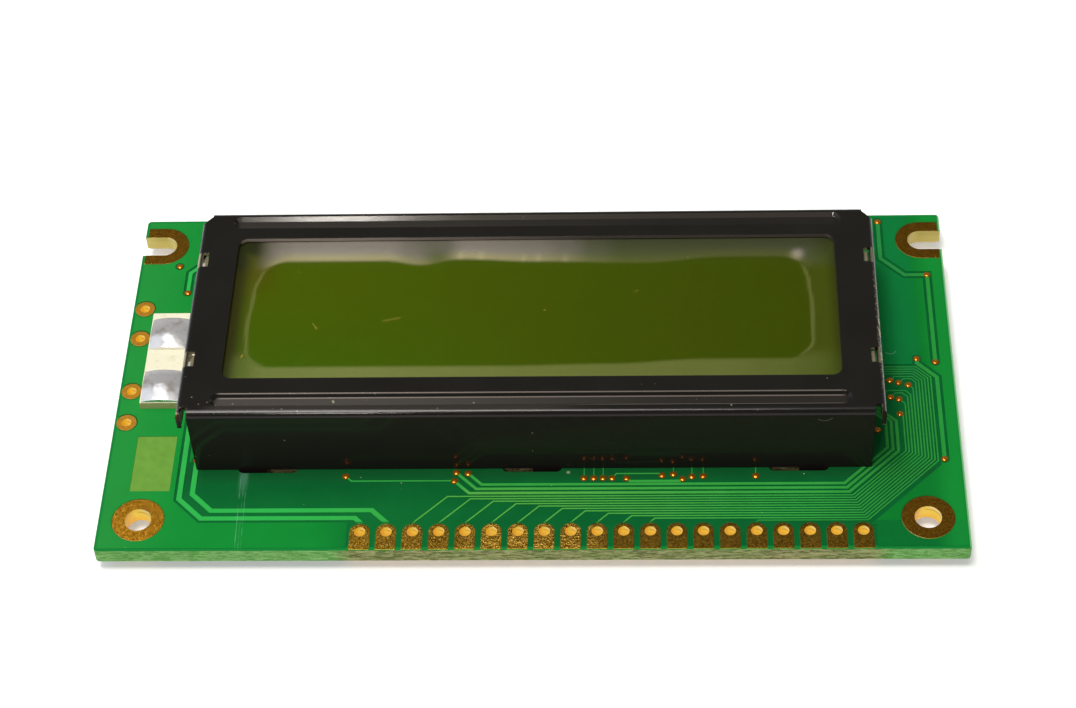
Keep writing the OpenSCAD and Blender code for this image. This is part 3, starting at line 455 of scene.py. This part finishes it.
def worn_edges(look, chips):
    """Where the bezel's paint has gone, but for the lances."""
    lining = BEZEL_SIDE - SHEET
    reach = LANCE_HALF + 0.02
    foot = look.times(look.smooth(look.x, lining - 0.05, lining + 0.05),
                      look.smooth(look.z, SKIRT_FOOT + 0.16, SKIRT_FOOT + 0.04),
                      look.smooth(chips, 0.36, 0.5), 0.3)
    right = look.times(look.smooth(look.x, BEZEL_SIDE - 0.5, BEZEL_SIDE - 0.1),
                       look.smooth(look.z, BEZEL_TOP - 0.7, BEZEL_TOP - 0.3),
                       look.smooth(chips, 0.53, 0.58), look.band(look.y, -9.5, 6.0, 1.5), 0.6)
    corner = look.times(look.smooth(look.x, -BEZEL_SIDE + 1.4, -BEZEL_SIDE + 0.3),
                        look.smooth(look.y, BEZEL_FRONT + 1.3, BEZEL_FRONT + 0.3),
                        look.smooth(look.z, BEZEL_TOP - 0.5, BEZEL_TOP - 0.2),
                        look.smooth(chips, 0.5, 0.58))
    near_lances = look.most(*(look.band(look.y, y - reach, y + reach, 0.05) for y in LANCES_Y))
    lip = look.times(look.band(look.x, *LANCE_LIP, 0.03), near_lances,
                     look.smooth(look.z, BEZEL_TOP - 0.5, BEZEL_TOP - 0.3), look.smooth(chips, 0.3, 0.45))
    scratched = look.times(look.most(*(look.stroke(*ends, 0.05) for ends in SCRATCHES)),
                           look.smooth(look.z, BEZEL_TOP - 0.45, BEZEL_TOP - 0.3))
    inside = look.times(look.smooth(look.facing_x, -0.5, -0.8),
                        look.smooth(look.x, lining - 0.3, lining - 0.1),
                        look.smooth(look.y, BEZEL_FRONT + 1.6, BEZEL_FRONT + 1.0))
    rubs = look.times(look.specks(0.7, 0.05, 0.4), look.smooth(look.x, -30.5, -33.0),
                      look.smooth(look.y, -2.0, -9.0), 0.8)
    return look.most(foot, right, lip, scratched, corner, inside, rubs)


def bezel():
    """Black paint on steel, worn at the edges and cut at the lances, with painted reflections and painted
    light.
    """
    look = Look("bezel")
    chips = look.noise(0.35, 4, 0.7)
    paint = look.mix(look.noise(5.0, 3), srgb(22, 20, 16), srgb(33, 31, 26))
    paint = bezel_dust(look, groove_paint(look, paint))
    lances = look.most(*(look.band(look.y, y - LANCE_HALF, y + LANCE_HALF, 0.05) for y in LANCES_Y))
    lances = look.times(lances, look.smooth(look.z, BEZEL_TOP - 0.04, BEZEL_TOP - 0.1))
    tips = look.most(look.band(look.x, -BEZEL_SIDE, -LANCE_TIP[0], 0.03), look.band(look.x, *LANCE_TIP, 0.02))
    cut = look.times(lances, tips, look.spread(chips, 0.5, 1.0))
    # Painted reflection of the green board on the lances' leaning outer faces, which shine less
    lance_board_reflection = look.times(lances, look.band(look.x, *LANCE_LEAN, 0.04), look.smooth(look.facing_x, 0.2, 0.4))
    paint = look.mix(look.times(lance_board_reflection, 0.85), paint, srgb(66, 112, 70))
    # Painted sheen: a blue tint on the left bend and skirt, which shine less
    left_bend_blue_sheen = look.smooth(look.x, -BEZEL_SIDE + SHEET, -BEZEL_SIDE + SHEET / 2)
    paint = look.mix(look.times(left_bend_blue_sheen, 0.6), paint, srgb(34, 40, 58))
    around_window = look.box([at - 0.05 for at in WINDOW_LOW], [at + 0.05 for at in WINDOW_HIGH], 0.02)
    sheared = look.times(around_window, look.smooth(look.facing_z, 0.8, 0.4), look.spread(chips, 0.05, 0.3))
    back_edge = look.times(around_window, look.smooth(look.facing_y, -0.5, -0.8), 0.9)
    # The window's back cut edge is bare steel, with painted light: paler to the left and darker to the right
    back_edge_light = look.mix(look.smooth(look.x, -24.0, 8.0), srgb(190, 175, 165), srgb(108, 98, 92))
    bare = look.most(worn_edges(look, chips), cut, sheared)
    steel = look.mix(look.noise(0.12, 3), srgb(124, 116, 96), srgb(212, 200, 164))
    front_wall = look.smooth(look.facing_y, -0.8, -0.95)
    gloss = look.math("MINIMUM", look.spread(look.smooth(look.facing_y, -0.1, -0.3), 0.5, 0.29),
                      look.spread(look.most(front_wall, left_bend_blue_sheen), 0.5, 0.2))
    look.set(
        color=look.mix(back_edge, look.mix(bare, paint, steel), back_edge_light),
        metallic=look.times(bare, look.spread(back_edge, 0.8, 0.0), look.spread(cut, 1.0, 0.5)),
        specular=look.times(gloss, look.spread(lance_board_reflection, 1.0, 0.0)),
        roughness=look.spread(look.noise(1.2, 3), 0.08, 0.12),
        normal=look.bump(look.noise(0.32, 3), 0.0016, look.rounded(0.1)),
    )
    return look.material


def polariser():
    """Olive display, with painted shade near the window's edges, where the bezel shades it."""
    look = Look("polariser", specular=0.08, roughness=0.15)
    across = look.smooth(look.x, -34.0, 34.0)
    color = look.mix(across, srgb(68, 89, 1), srgb(51, 64, 1))
    leafy = look.times(look.smooth(look.x, 4.0, -24.0), look.smooth(look.y, 4.0, -5.0), 0.5)
    color = look.mix(leafy, color, srgb(48, 92, 6))
    color = look.mix(look.times(look.noise(2.5, 3), 0.35), color, srgb(58, 78, 1))
    olive = look.times(look.smooth(look.x, -25.0, -27.5), look.smooth(look.y, 2.0, 8.0), 0.9)
    color = look.mix(olive, color, srgb(72, 70, 2))
    # Painted shade from the bezel along the window's sides and back, most at the back left corner
    shade = look.most(
        look.smooth(look.x, WINDOW_LOW[0] + 2.2, WINDOW_LOW[0] + 0.35),
        look.times(look.smooth(look.x, WINDOW_HIGH[0] - 1.2, WINDOW_HIGH[0] + 0.4), 0.8),
        look.times(look.smooth(look.y, 7.8, 11.0), 0.68),
        look.times(look.smooth(look.x, -25.0, -28.5), look.smooth(look.y, 8.2, 10.2)),
    )
    color = look.mix(shade, color, srgb(14, 15, 3))
    color = look.mix(look.times(look.noise(0.12, 2), 0.18), color, srgb(96, 116, 14))
    color = look.mix(look.times(look.specks(2.2, 0.05, 0.2), 0.6), color, srgb(150, 160, 90))
    look.set(color=color)
    return look.material


def film():
    """Clear film that lies flat on the display and is milky where it has lifted, with painted light in the
    milkiness.
    """
    look = Look("film", roughness=0.35, specular=0.4)
    tint = look.node("Attribute", {"attribute_name": "tint"}).outputs["Color"]
    haze = look.node("Attribute", {"attribute_name": "haze"}).outputs["Fac"]
    color = look.mix(look.times(look.noise((2.4, 0.6, 1.0), 3), 0.2), tint, srgb(110, 104, 80))
    marks = look.most(
        *(look.times(look.stroke(start, end, width), share) for start, end, width, share in FILM_MARKS),
        look.times(look.specks(2.4, 0.06, 0.16), 0.25),
    )
    color = look.mix(look.smooth(marks, 0.0, 0.05), color, srgb(196, 176, 66))
    look.set(color=color, alpha=look.most(haze, marks, 0.004))
    return look.material


def plain(name, dark, light, size, depth=0.01, **sockets):
    """A material whose colour and relief vary with one noise."""
    look = Look(name, **sockets)
    grain = look.noise(size, 3)
    look.set(color=look.mix(grain, dark, light), normal=look.bump(grain, depth))
    return look.material


def light_board():
    """White board with a stained top and pale brown edges."""
    look = Look("light_board", roughness=0.5, specular=0.3)
    stain = look.smooth(look.noise(0.8, 4, 0.65), 0.5, 0.75)
    top = look.mix(look.times(stain, 0.35), srgb(248, 243, 214), srgb(206, 182, 122))
    edge = look.mix(look.noise((0.5, 0.5, 0.1), 3), srgb(190, 168, 104), srgb(238, 226, 180))
    flat = look.upward()
    look.set(color=look.mix(flat, edge, top), normal=look.bump(look.noise(0.3, 3), 0.02))
    return look.material


def solder():
    """Wavy, stained solder."""
    look = Look("solder", metallic=0.62)
    waves = look.noise(1.8, 2)
    stain = look.smooth(look.noise(0.9, 3), 0.45, 0.75)
    tone = look.mix(look.times(stain, 0.6), srgb(236, 234, 234), srgb(172, 156, 136))
    look.set(color=tone, roughness=look.spread(waves, 0.14, 0.26), normal=look.bump(waves, 0.07))
    return look.material


MATERIALS = {
    "laminate": laminate(),
    "copper_area": covered_copper("copper_area", srgb(12, 122, 42), srgb(22, 148, 54), 6.0, 0.08),
    "conductor": covered_copper("conductor", srgb(46, 158, 60), srgb(66, 178, 76), 2.0, 0.42),
    "gold": gold(),
    "via": via(),
    "bezel": bezel(),
    "film": film(),
    "polariser": polariser(),
    "glass": plain("glass", srgb(96, 112, 60), srgb(112, 128, 74), 2.0, roughness=0.08, alpha=0.5),
    "seal": plain("seal", srgb(60, 62, 58), srgb(80, 82, 76), 0.5, roughness=0.6),
    "rubber": plain("rubber", srgb(196, 140, 140), srgb(216, 164, 160), 0.4, roughness=0.7),
    "light_board": light_board(),
    "lamp": plain("lamp", srgb(226, 214, 150), srgb(246, 238, 190), 0.5, roughness=0.3),
    "reflector": plain("reflector", srgb(222, 222, 216), srgb(240, 240, 236), 1.5, roughness=0.5),
    "diffuser": plain("diffuser", srgb(222, 230, 214), srgb(236, 240, 228), 1.5, roughness=0.5),
    "solder": solder(),
    "resin": plain("resin", srgb(14, 14, 15), srgb(26, 26, 28), 1.4, 0.08, roughness=0.42, specular=0.4),
    "resistor": plain("resistor", srgb(24, 24, 28), srgb(40, 40, 46), 0.3, roughness=0.4),
    "capacitor": plain("capacitor", srgb(146, 114, 78), srgb(170, 140, 102), 0.3, roughness=0.5),
    "tin": plain("tin", srgb(176, 176, 180), srgb(214, 214, 216), 0.2, 0.02, metallic=1.0, roughness=0.32),
}


def dress_nodes():
    for part in frame["record"]["subparts"]:
        slots = NODES[part["node"]].data.materials
        slots.clear()
        slots.append(MATERIALS[part["material_slot"]])


# Protective film

# Edges of the part that clings to the display
ADHERED_TOP = [(-28, 8.2), (-25, 8.35), (-15, 8.35), (-11.3, 7.7), (-7.5, 8.5), (0, 8.1), (11, 7.75),
               (19, 8.5)]
ADHERED_BOTTOM = [(-28, -5.5), (-2, -5.5), (8, -5.3), (17, -4.75)]
ADHERED_LEFT = [(-6, -27.5), (-3, -28.0), (-0.5, -28.15), (4.5, -27.85), (7, -27.3), (9, -26.6)]
ADHERED_RIGHT = [(-5, 26.8), (-2.5, 27.4), (2, 27.5), (5, 27.3), (7.5, 26.9), (9, 26.3)]
ADHERED_CORNER = 1.9
# How milky the lifted film is along its back edge and along its front edge; along the back it also carries a
# painted reflection
HAZE_BACK = [(-30, 0.01), (-28.5, 0.015), (-25.2, 0.38), (-24, 0.47), (-21, 0.505), (-18, 0.495),
             (-15, 0.45), (-12.5, 0.27), (-10.5, 0.2), (-9, 0.22), (-7, 0.43), (-6, 0.43), (-3, 0.36),
             (0, 0.31), (3, 0.2), (6, 0.09), (9, 0.05), (27, 0.05), (30, 0.02)]
HAZE_FRONT = [(-30, 0.02), (-28.5, 0.08), (-26, 0.18), (-18, 0.22), (-9, 0.19), (0, 0.16), (9, 0.14),
              (18, 0.13), (24, 0.1), (27, 0.07), (30, 0.03)]
HAZE_SIDE = 0.02
# Strength of the painted highlight along the edge of the clinging part, at its left and right ends
HAZE_LINE = 0.12
# Painted highlights where the film has creased: middle, half width, strength
CREASE_HIGHLIGHTS = [(-7.5, 0.35, 0.2), (-5.4, 0.3, 0.18), (-1.1, 0.25, 0.14), (0.4, 0.25, 0.16), (3.1, 0.3, 0.12)]
# Painted highlight at the film's back right corner: place and strength
CORNER_GLINT = (26.4, 8.9)
GLINT_STRENGTH = 0.45
# Painted shade in the milkiness at the back, left of the middle: place and strength
CORNER_GLOOM = (-9.6, 8.6)
GLOOM_STRENGTH = 0.6
TINT_SIDE = srgb(190, 168, 100)
TINT_FRONT = srgb(184, 190, 108)
TINT_BACK = srgb(178, 168, 158)
TINT_CREASE = srgb(204, 194, 140)
FILM_STEP = 0.22
FILM_GAP = 0.01
# How high the film lifts: all round, and more at the back, where it lies in waves
LIFT_ROUND = 0.06
LIFT_BACK = 0.09
WAVE_SHARE = 0.35
WAVE_RATE = 0.55
WAVE_START = 0.8


def eased(points, at):
    """The value of a smooth line through points, in order along the first number."""
    if at <= points[0][0]:
        return points[0][1]
    for (a, low), (b, high) in zip(points, points[1:]):
        if at <= b:
            share = (at - a) / (b - a)
            return low + (high - low) * share * share * (3 - 2 * share)
    return points[-1][1]


def soft_step(value, low, high):
    share = min(max((value - low) / (high - low), 0.0), 1.0)
    return share * share * (3 - 2 * share)


def blend(first, second, share):
    return [a + (b - a) * share for a, b in zip(first, second)]


def inside_adhered(x, y):
    """How far a point lies inside the part of the film that clings to the display; below 0 outside."""
    sideways = min(x - eased(ADHERED_LEFT, y), eased(ADHERED_RIGHT, y) - x)
    along = min(y - eased(ADHERED_BOTTOM, x), eased(ADHERED_TOP, x) - y)
    if sideways < ADHERED_CORNER and along < ADHERED_CORNER:
        return ADHERED_CORNER - math.hypot(ADHERED_CORNER - sideways, ADHERED_CORNER - along)
    return min(sideways, along)


def film_lift(x, y):
    """Height of the lifted film over the display."""
    out = -inside_adhered(x, y)
    edge = min(x - WINDOW_LOW[0], WINDOW_HIGH[0] - x, y - WINDOW_LOW[1], WINDOW_HIGH[1] - y)
    back = soft_step(y, 6.5, 9.5)
    waves = 1 + WAVE_SHARE * math.sin(WAVE_RATE * x + WAVE_START) * back
    height = LIFT_ROUND + LIFT_BACK * back * waves
    return height * soft_step(out, 0.0, 2.0) * soft_step(edge, 0.0, 1.8)


def film_haze(x, y):
    """How milky the film is, with painted highlights, shade and reflection in it, and its tint."""
    out = -inside_adhered(x, y)
    front, back = soft_step(-y, 3.0, 5.2), soft_step(y, 6.6, 8.2)
    near = 1 - soft_step(out, 0.2, 1.6)
    along = eased(HAZE_BACK, x) * (1 + 0.12 * near) * (1 - 0.12 * soft_step(y, 9.7, 10.8))
    for middle, half, strength in CREASE_HIGHLIGHTS:
        along += strength * near * math.exp(-((x - middle) / half) ** 2)
    along += GLINT_STRENGTH * math.exp(-math.dist((x, y), CORNER_GLINT) ** 2 / 0.3)
    along *= 1 - GLOOM_STRENGTH * math.exp(-math.dist((x, y), CORNER_GLOOM) ** 2 / 1.6)
    amount = HAZE_SIDE + front * (eased(HAZE_FRONT, x) - HAZE_SIDE) + back * (along - HAZE_SIDE)
    # Painted highlight: a thin milky line along the edge of the clinging part, at its left and right ends
    line = soft_step(abs(x), 25.5, 27.0) * (1 - back) * (1 - soft_step(abs(out - 0.1), 0.05, 0.3))
    behind = blend(TINT_BACK, TINT_CREASE, near)
    tint = blend(blend(TINT_SIDE, TINT_FRONT, max(front, line)), behind, back)
    return max(amount * soft_step(out, -0.1, 0.45), HAZE_LINE * line), tint


def build_film():
    low, high = (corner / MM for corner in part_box("protective_film"))
    columns = round((high.x - low.x) / FILM_STEP)
    rows = round((high.y - low.y) / FILM_STEP)
    mesh = bpy.data.meshes.new("protective_film_sheet")
    shape = bmesh.new()
    bmesh.ops.create_grid(shape, x_segments=columns, y_segments=rows, size=0.5)
    haze = shape.verts.layers.float.new("haze")
    tint = shape.verts.layers.float_color.new("tint")
    for vert in shape.verts:
        x = low.x + (vert.co.x + 0.5) * (high.x - low.x)
        y = low.y + (vert.co.y + 0.5) * (high.y - low.y)
        vert[haze], vert[tint] = film_haze(x, y)
        vert.co = Vector((x, y, low.z + FILM_GAP + film_lift(x, y))) * MM
    shape.to_mesh(mesh)
    shape.free()
    sheet = bpy.data.objects.new("protective_film_sheet", mesh)
    bpy.context.collection.objects.link(sheet)
    mesh.materials.append(MATERIALS["film"])
    for polygon in mesh.polygons:
        polygon.use_smooth = True
    solid = sheet.modifiers.new("thickness", "SOLIDIFY")
    solid.thickness = (high.z - low.z - FILM_GAP) * MM
    solid.offset = 1.0
    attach(sheet, "root")
    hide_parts("protective_film")


# Through connections

DOME_RINGS = 5
DOME_SIDES = 20
DOME_HEIGHT = 0.1
DOME_RADIUS = 0.33
DOME_POWER = 2.4
# Points of the frame's meshes this near, in metres, are one
WELD = 1e-6


def islands(node):
    """The middles of a node's separate solids, seen from above."""
    shape = bmesh.new()
    shape.from_mesh(NODES[node].data)
    bmesh.ops.remove_doubles(shape, verts=shape.verts, dist=WELD)
    left = set(shape.verts)
    middles = []
    while left:
        todo = [left.pop()]
        spots = []
        while todo:
            vert = todo.pop()
            spots.append(vert.co / MM)
            linked = {edge.other_vert(vert) for edge in vert.link_edges} & left
            left -= linked
            todo += linked
        middle = [(min(s[axis] for s in spots) + max(s[axis] for s in spots)) / 2 for axis in (0, 1)]
        middles.append((round(middle[0], 3), round(middle[1], 3)))
    shape.free()
    return sorted(middles)


def add_dome(shape, middle, radius, foot, height):
    """A shallow dome with its round foot at a height; it hangs down when height is below 0."""
    rings = []
    for step in range(DOME_RINGS):
        out = 1 - step / DOME_RINGS
        spots = [(middle[0] + radius * out * math.cos(turn), middle[1] + radius * out * math.sin(turn))
                 for turn in (2 * math.pi * side / DOME_SIDES for side in range(DOME_SIDES))]
        level = foot + height * (1 - out ** DOME_POWER)
        rings.append([shape.verts.new(Vector((x, y, level)) * MM) for x, y in spots])
    tip = shape.verts.new(Vector((*middle, foot + height)) * MM)
    shape.faces.new(rings[0])
    for side in range(DOME_SIDES):
        following = (side + 1) % DOME_SIDES
        for low, high in zip(rings, rings[1:]):
            shape.faces.new((low[side], low[following], high[following], high[side])).smooth = True
        shape.faces.new((rings[-1][side], rings[-1][following], tip)).smooth = True


def build_domes():
    """The mask that fills the through connections, swollen on both faces of the board."""
    low, high = (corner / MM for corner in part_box("through_connections"))
    mesh = bpy.data.meshes.new("through_connection_domes")
    shape = bmesh.new()
    for middle in islands("through_connections"):
        add_dome(shape, middle, DOME_RADIUS, high.z, DOME_HEIGHT)
        add_dome(shape, middle, DOME_RADIUS, low.z, -DOME_HEIGHT)
    bmesh.ops.recalc_face_normals(shape, faces=shape.faces)
    shape.to_mesh(mesh)
    shape.free()
    mesh.materials.append(MATERIALS["via"])
    domes = bpy.data.objects.new("through_connection_domes", mesh)
    bpy.context.collection.objects.link(domes)
    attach(domes, "root")


# Studio

IMAGE_WIDTH = 1076
SENSOR_WIDTH = 36.0
FOCAL_PIXELS = 2655.0
CAMERA_PLACE = (12.65, -174.5, 202.63 + BOARD_TOP)
CAMERA_TURN = (0.718935, 0.046219, -0.006661)
# Nearest that the camera sees, in metres
CAMERA_NEAR = 0.01
# Width of the floor in metres, its own light to the camera, and where that light grows with the distance
FLOOR_SIZE = 6.0
FLOOR_GLOW = 0.34
FLOOR_NEAR = 300.0
FLOOR_FAR = 1500.0
# Light of the world by height, from level at 0 to straight up at 1, in front and at the back of the object,
# and where along Y the one passes into the other
WORLD_FRONT = [(0.0, 0.5), (0.08, 0.3), (0.2, 0.12), (0.94, 0.12), (0.985, 0.9), (1.0, 1.0)]
WORLD_BACK = [(0.0, 0.45), (0.3, 0.3), (0.5, 0.12), (0.9, 0.12), (0.97, 0.7), (1.0, 1.0)]
WORLD_TURN = (-0.15, 0.35)
# Name, place and size in metres, radiance and colour
LAMPS = [
    ("overhead", (-0.12, -0.08, 0.75), (0.36, 0.25), 13.0, (1.03, 1.0, 0.95)),
    ("side", (-0.5, 0.1, 0.5), (0.6, 0.6), 0.7, (0.86, 0.96, 1.12)),
    ("strip", (-0.16, 0.25, 0.58), (0.13, 0.22), 2.3, (1.0, 1.0, 1.0)),
    ("key", (-0.0905, -0.386, 0.453), (0.03, 0.05), 60.0, (1.05, 1.0, 0.92)),
]


def add_camera():
    """The camera fitted to the photograph."""
    data = bpy.data.cameras.new("camera")
    data.sensor_width = SENSOR_WIDTH
    data.lens = FOCAL_PIXELS * SENSOR_WIDTH / IMAGE_WIDTH
    data.clip_start = CAMERA_NEAR
    camera = bpy.data.objects.new("camera", data)
    camera.location = Vector(CAMERA_PLACE) * MM
    camera.rotation_mode = "ZYX"
    camera.rotation_euler = CAMERA_TURN
    bpy.context.collection.objects.link(camera)
    bpy.context.scene.camera = camera


def add_floor():
    """A white floor, with a glow that only the camera and mirrors see."""
    mesh = bpy.data.meshes.new("floor")
    shape = bmesh.new()
    bmesh.ops.create_grid(shape, x_segments=1, y_segments=1, size=FLOOR_SIZE / 2)
    shape.to_mesh(mesh)
    shape.free()
    floor = bpy.data.objects.new("floor", mesh)
    bpy.context.collection.objects.link(floor)
    look = Look("floor", roughness=0.9, specular=0.0, emission=(1.0, 1.0, 1.0, 1.0))
    look.set(color=look.mix(look.noise(60.0, 2), srgb(243, 243, 242), srgb(247, 247, 246)))
    rays = look.node("LightPath").outputs
    reach = look.math("SQRT", look.math("ADD", look.times(look.x, look.x), look.times(look.y, look.y)))
    level = look.spread(look.smooth(reach, FLOOR_NEAR, FLOOR_FAR), FLOOR_GLOW, 1.0)
    seen = look.times(rays["Is Camera Ray"], level)
    mirrored = look.times(look.most(rays["Is Glossy Ray"], rays["Is Transmission Ray"]), FLOOR_GLOW)
    look.set(emission_strength=look.most(seen, mirrored))
    mesh.materials.append(look.material)


def add_world():
    """Pale overhead and dim all round, so that the dark paint keeps its depth."""
    world = bpy.data.worlds.new("studio")
    bpy.context.scene.world = world
    world.use_nodes = True
    nodes, links = world.node_tree.nodes, world.node_tree.links
    split = nodes.new("ShaderNodeSeparateXYZ")
    links.new(nodes.new("ShaderNodeTexCoord").outputs["Generated"], split.inputs[0])
    levels = []
    for stops in (WORLD_FRONT, WORLD_BACK):
        ramp = nodes.new("ShaderNodeValToRGB")
        while len(ramp.color_ramp.elements) < len(stops):
            ramp.color_ramp.elements.new(0.5)
        for element, (height, level) in zip(ramp.color_ramp.elements, stops):
            element.position = height
            element.color = (level, level, level, 1.0)
        links.new(split.outputs["Z"], ramp.inputs[0])
        levels.append(ramp.outputs[0])
    turn = nodes.new("ShaderNodeMapRange")
    turn.interpolation_type = "SMOOTHSTEP"
    turn.inputs["From Min"].default_value, turn.inputs["From Max"].default_value = WORLD_TURN
    links.new(split.outputs["Y"], turn.inputs["Value"])
    joined = nodes.new("ShaderNodeMix")
    joined.data_type = "RGBA"
    links.new(turn.outputs["Result"], joined.inputs[0])
    links.new(levels[0], joined.inputs[6])
    links.new(levels[1], joined.inputs[7])
    links.new(joined.outputs[2], nodes["Background"].inputs["Color"])


def add_lamp(name, place, size, radiance, color):
    """A soft box of that size, in metres, that shines at the object."""
    data = bpy.data.lights.new(name, "AREA")
    data.shape = "RECTANGLE"
    data.size, data.size_y = size
    data.energy = radiance * math.pi * size[0] * size[1]
    data.color = color
    lamp = bpy.data.objects.new(name, data)
    lamp.location = place
    lamp.rotation_euler = (-Vector(place)).to_track_quat("-Z", "Y").to_euler()
    bpy.context.collection.objects.link(lamp)


dress_nodes()
build_film()
build_domes()
add_camera()
add_floor()
add_world()
for lamp in LAMPS:
    add_lamp(*lamp)
bpy.context.scene.view_settings.view_transform = "Standard"
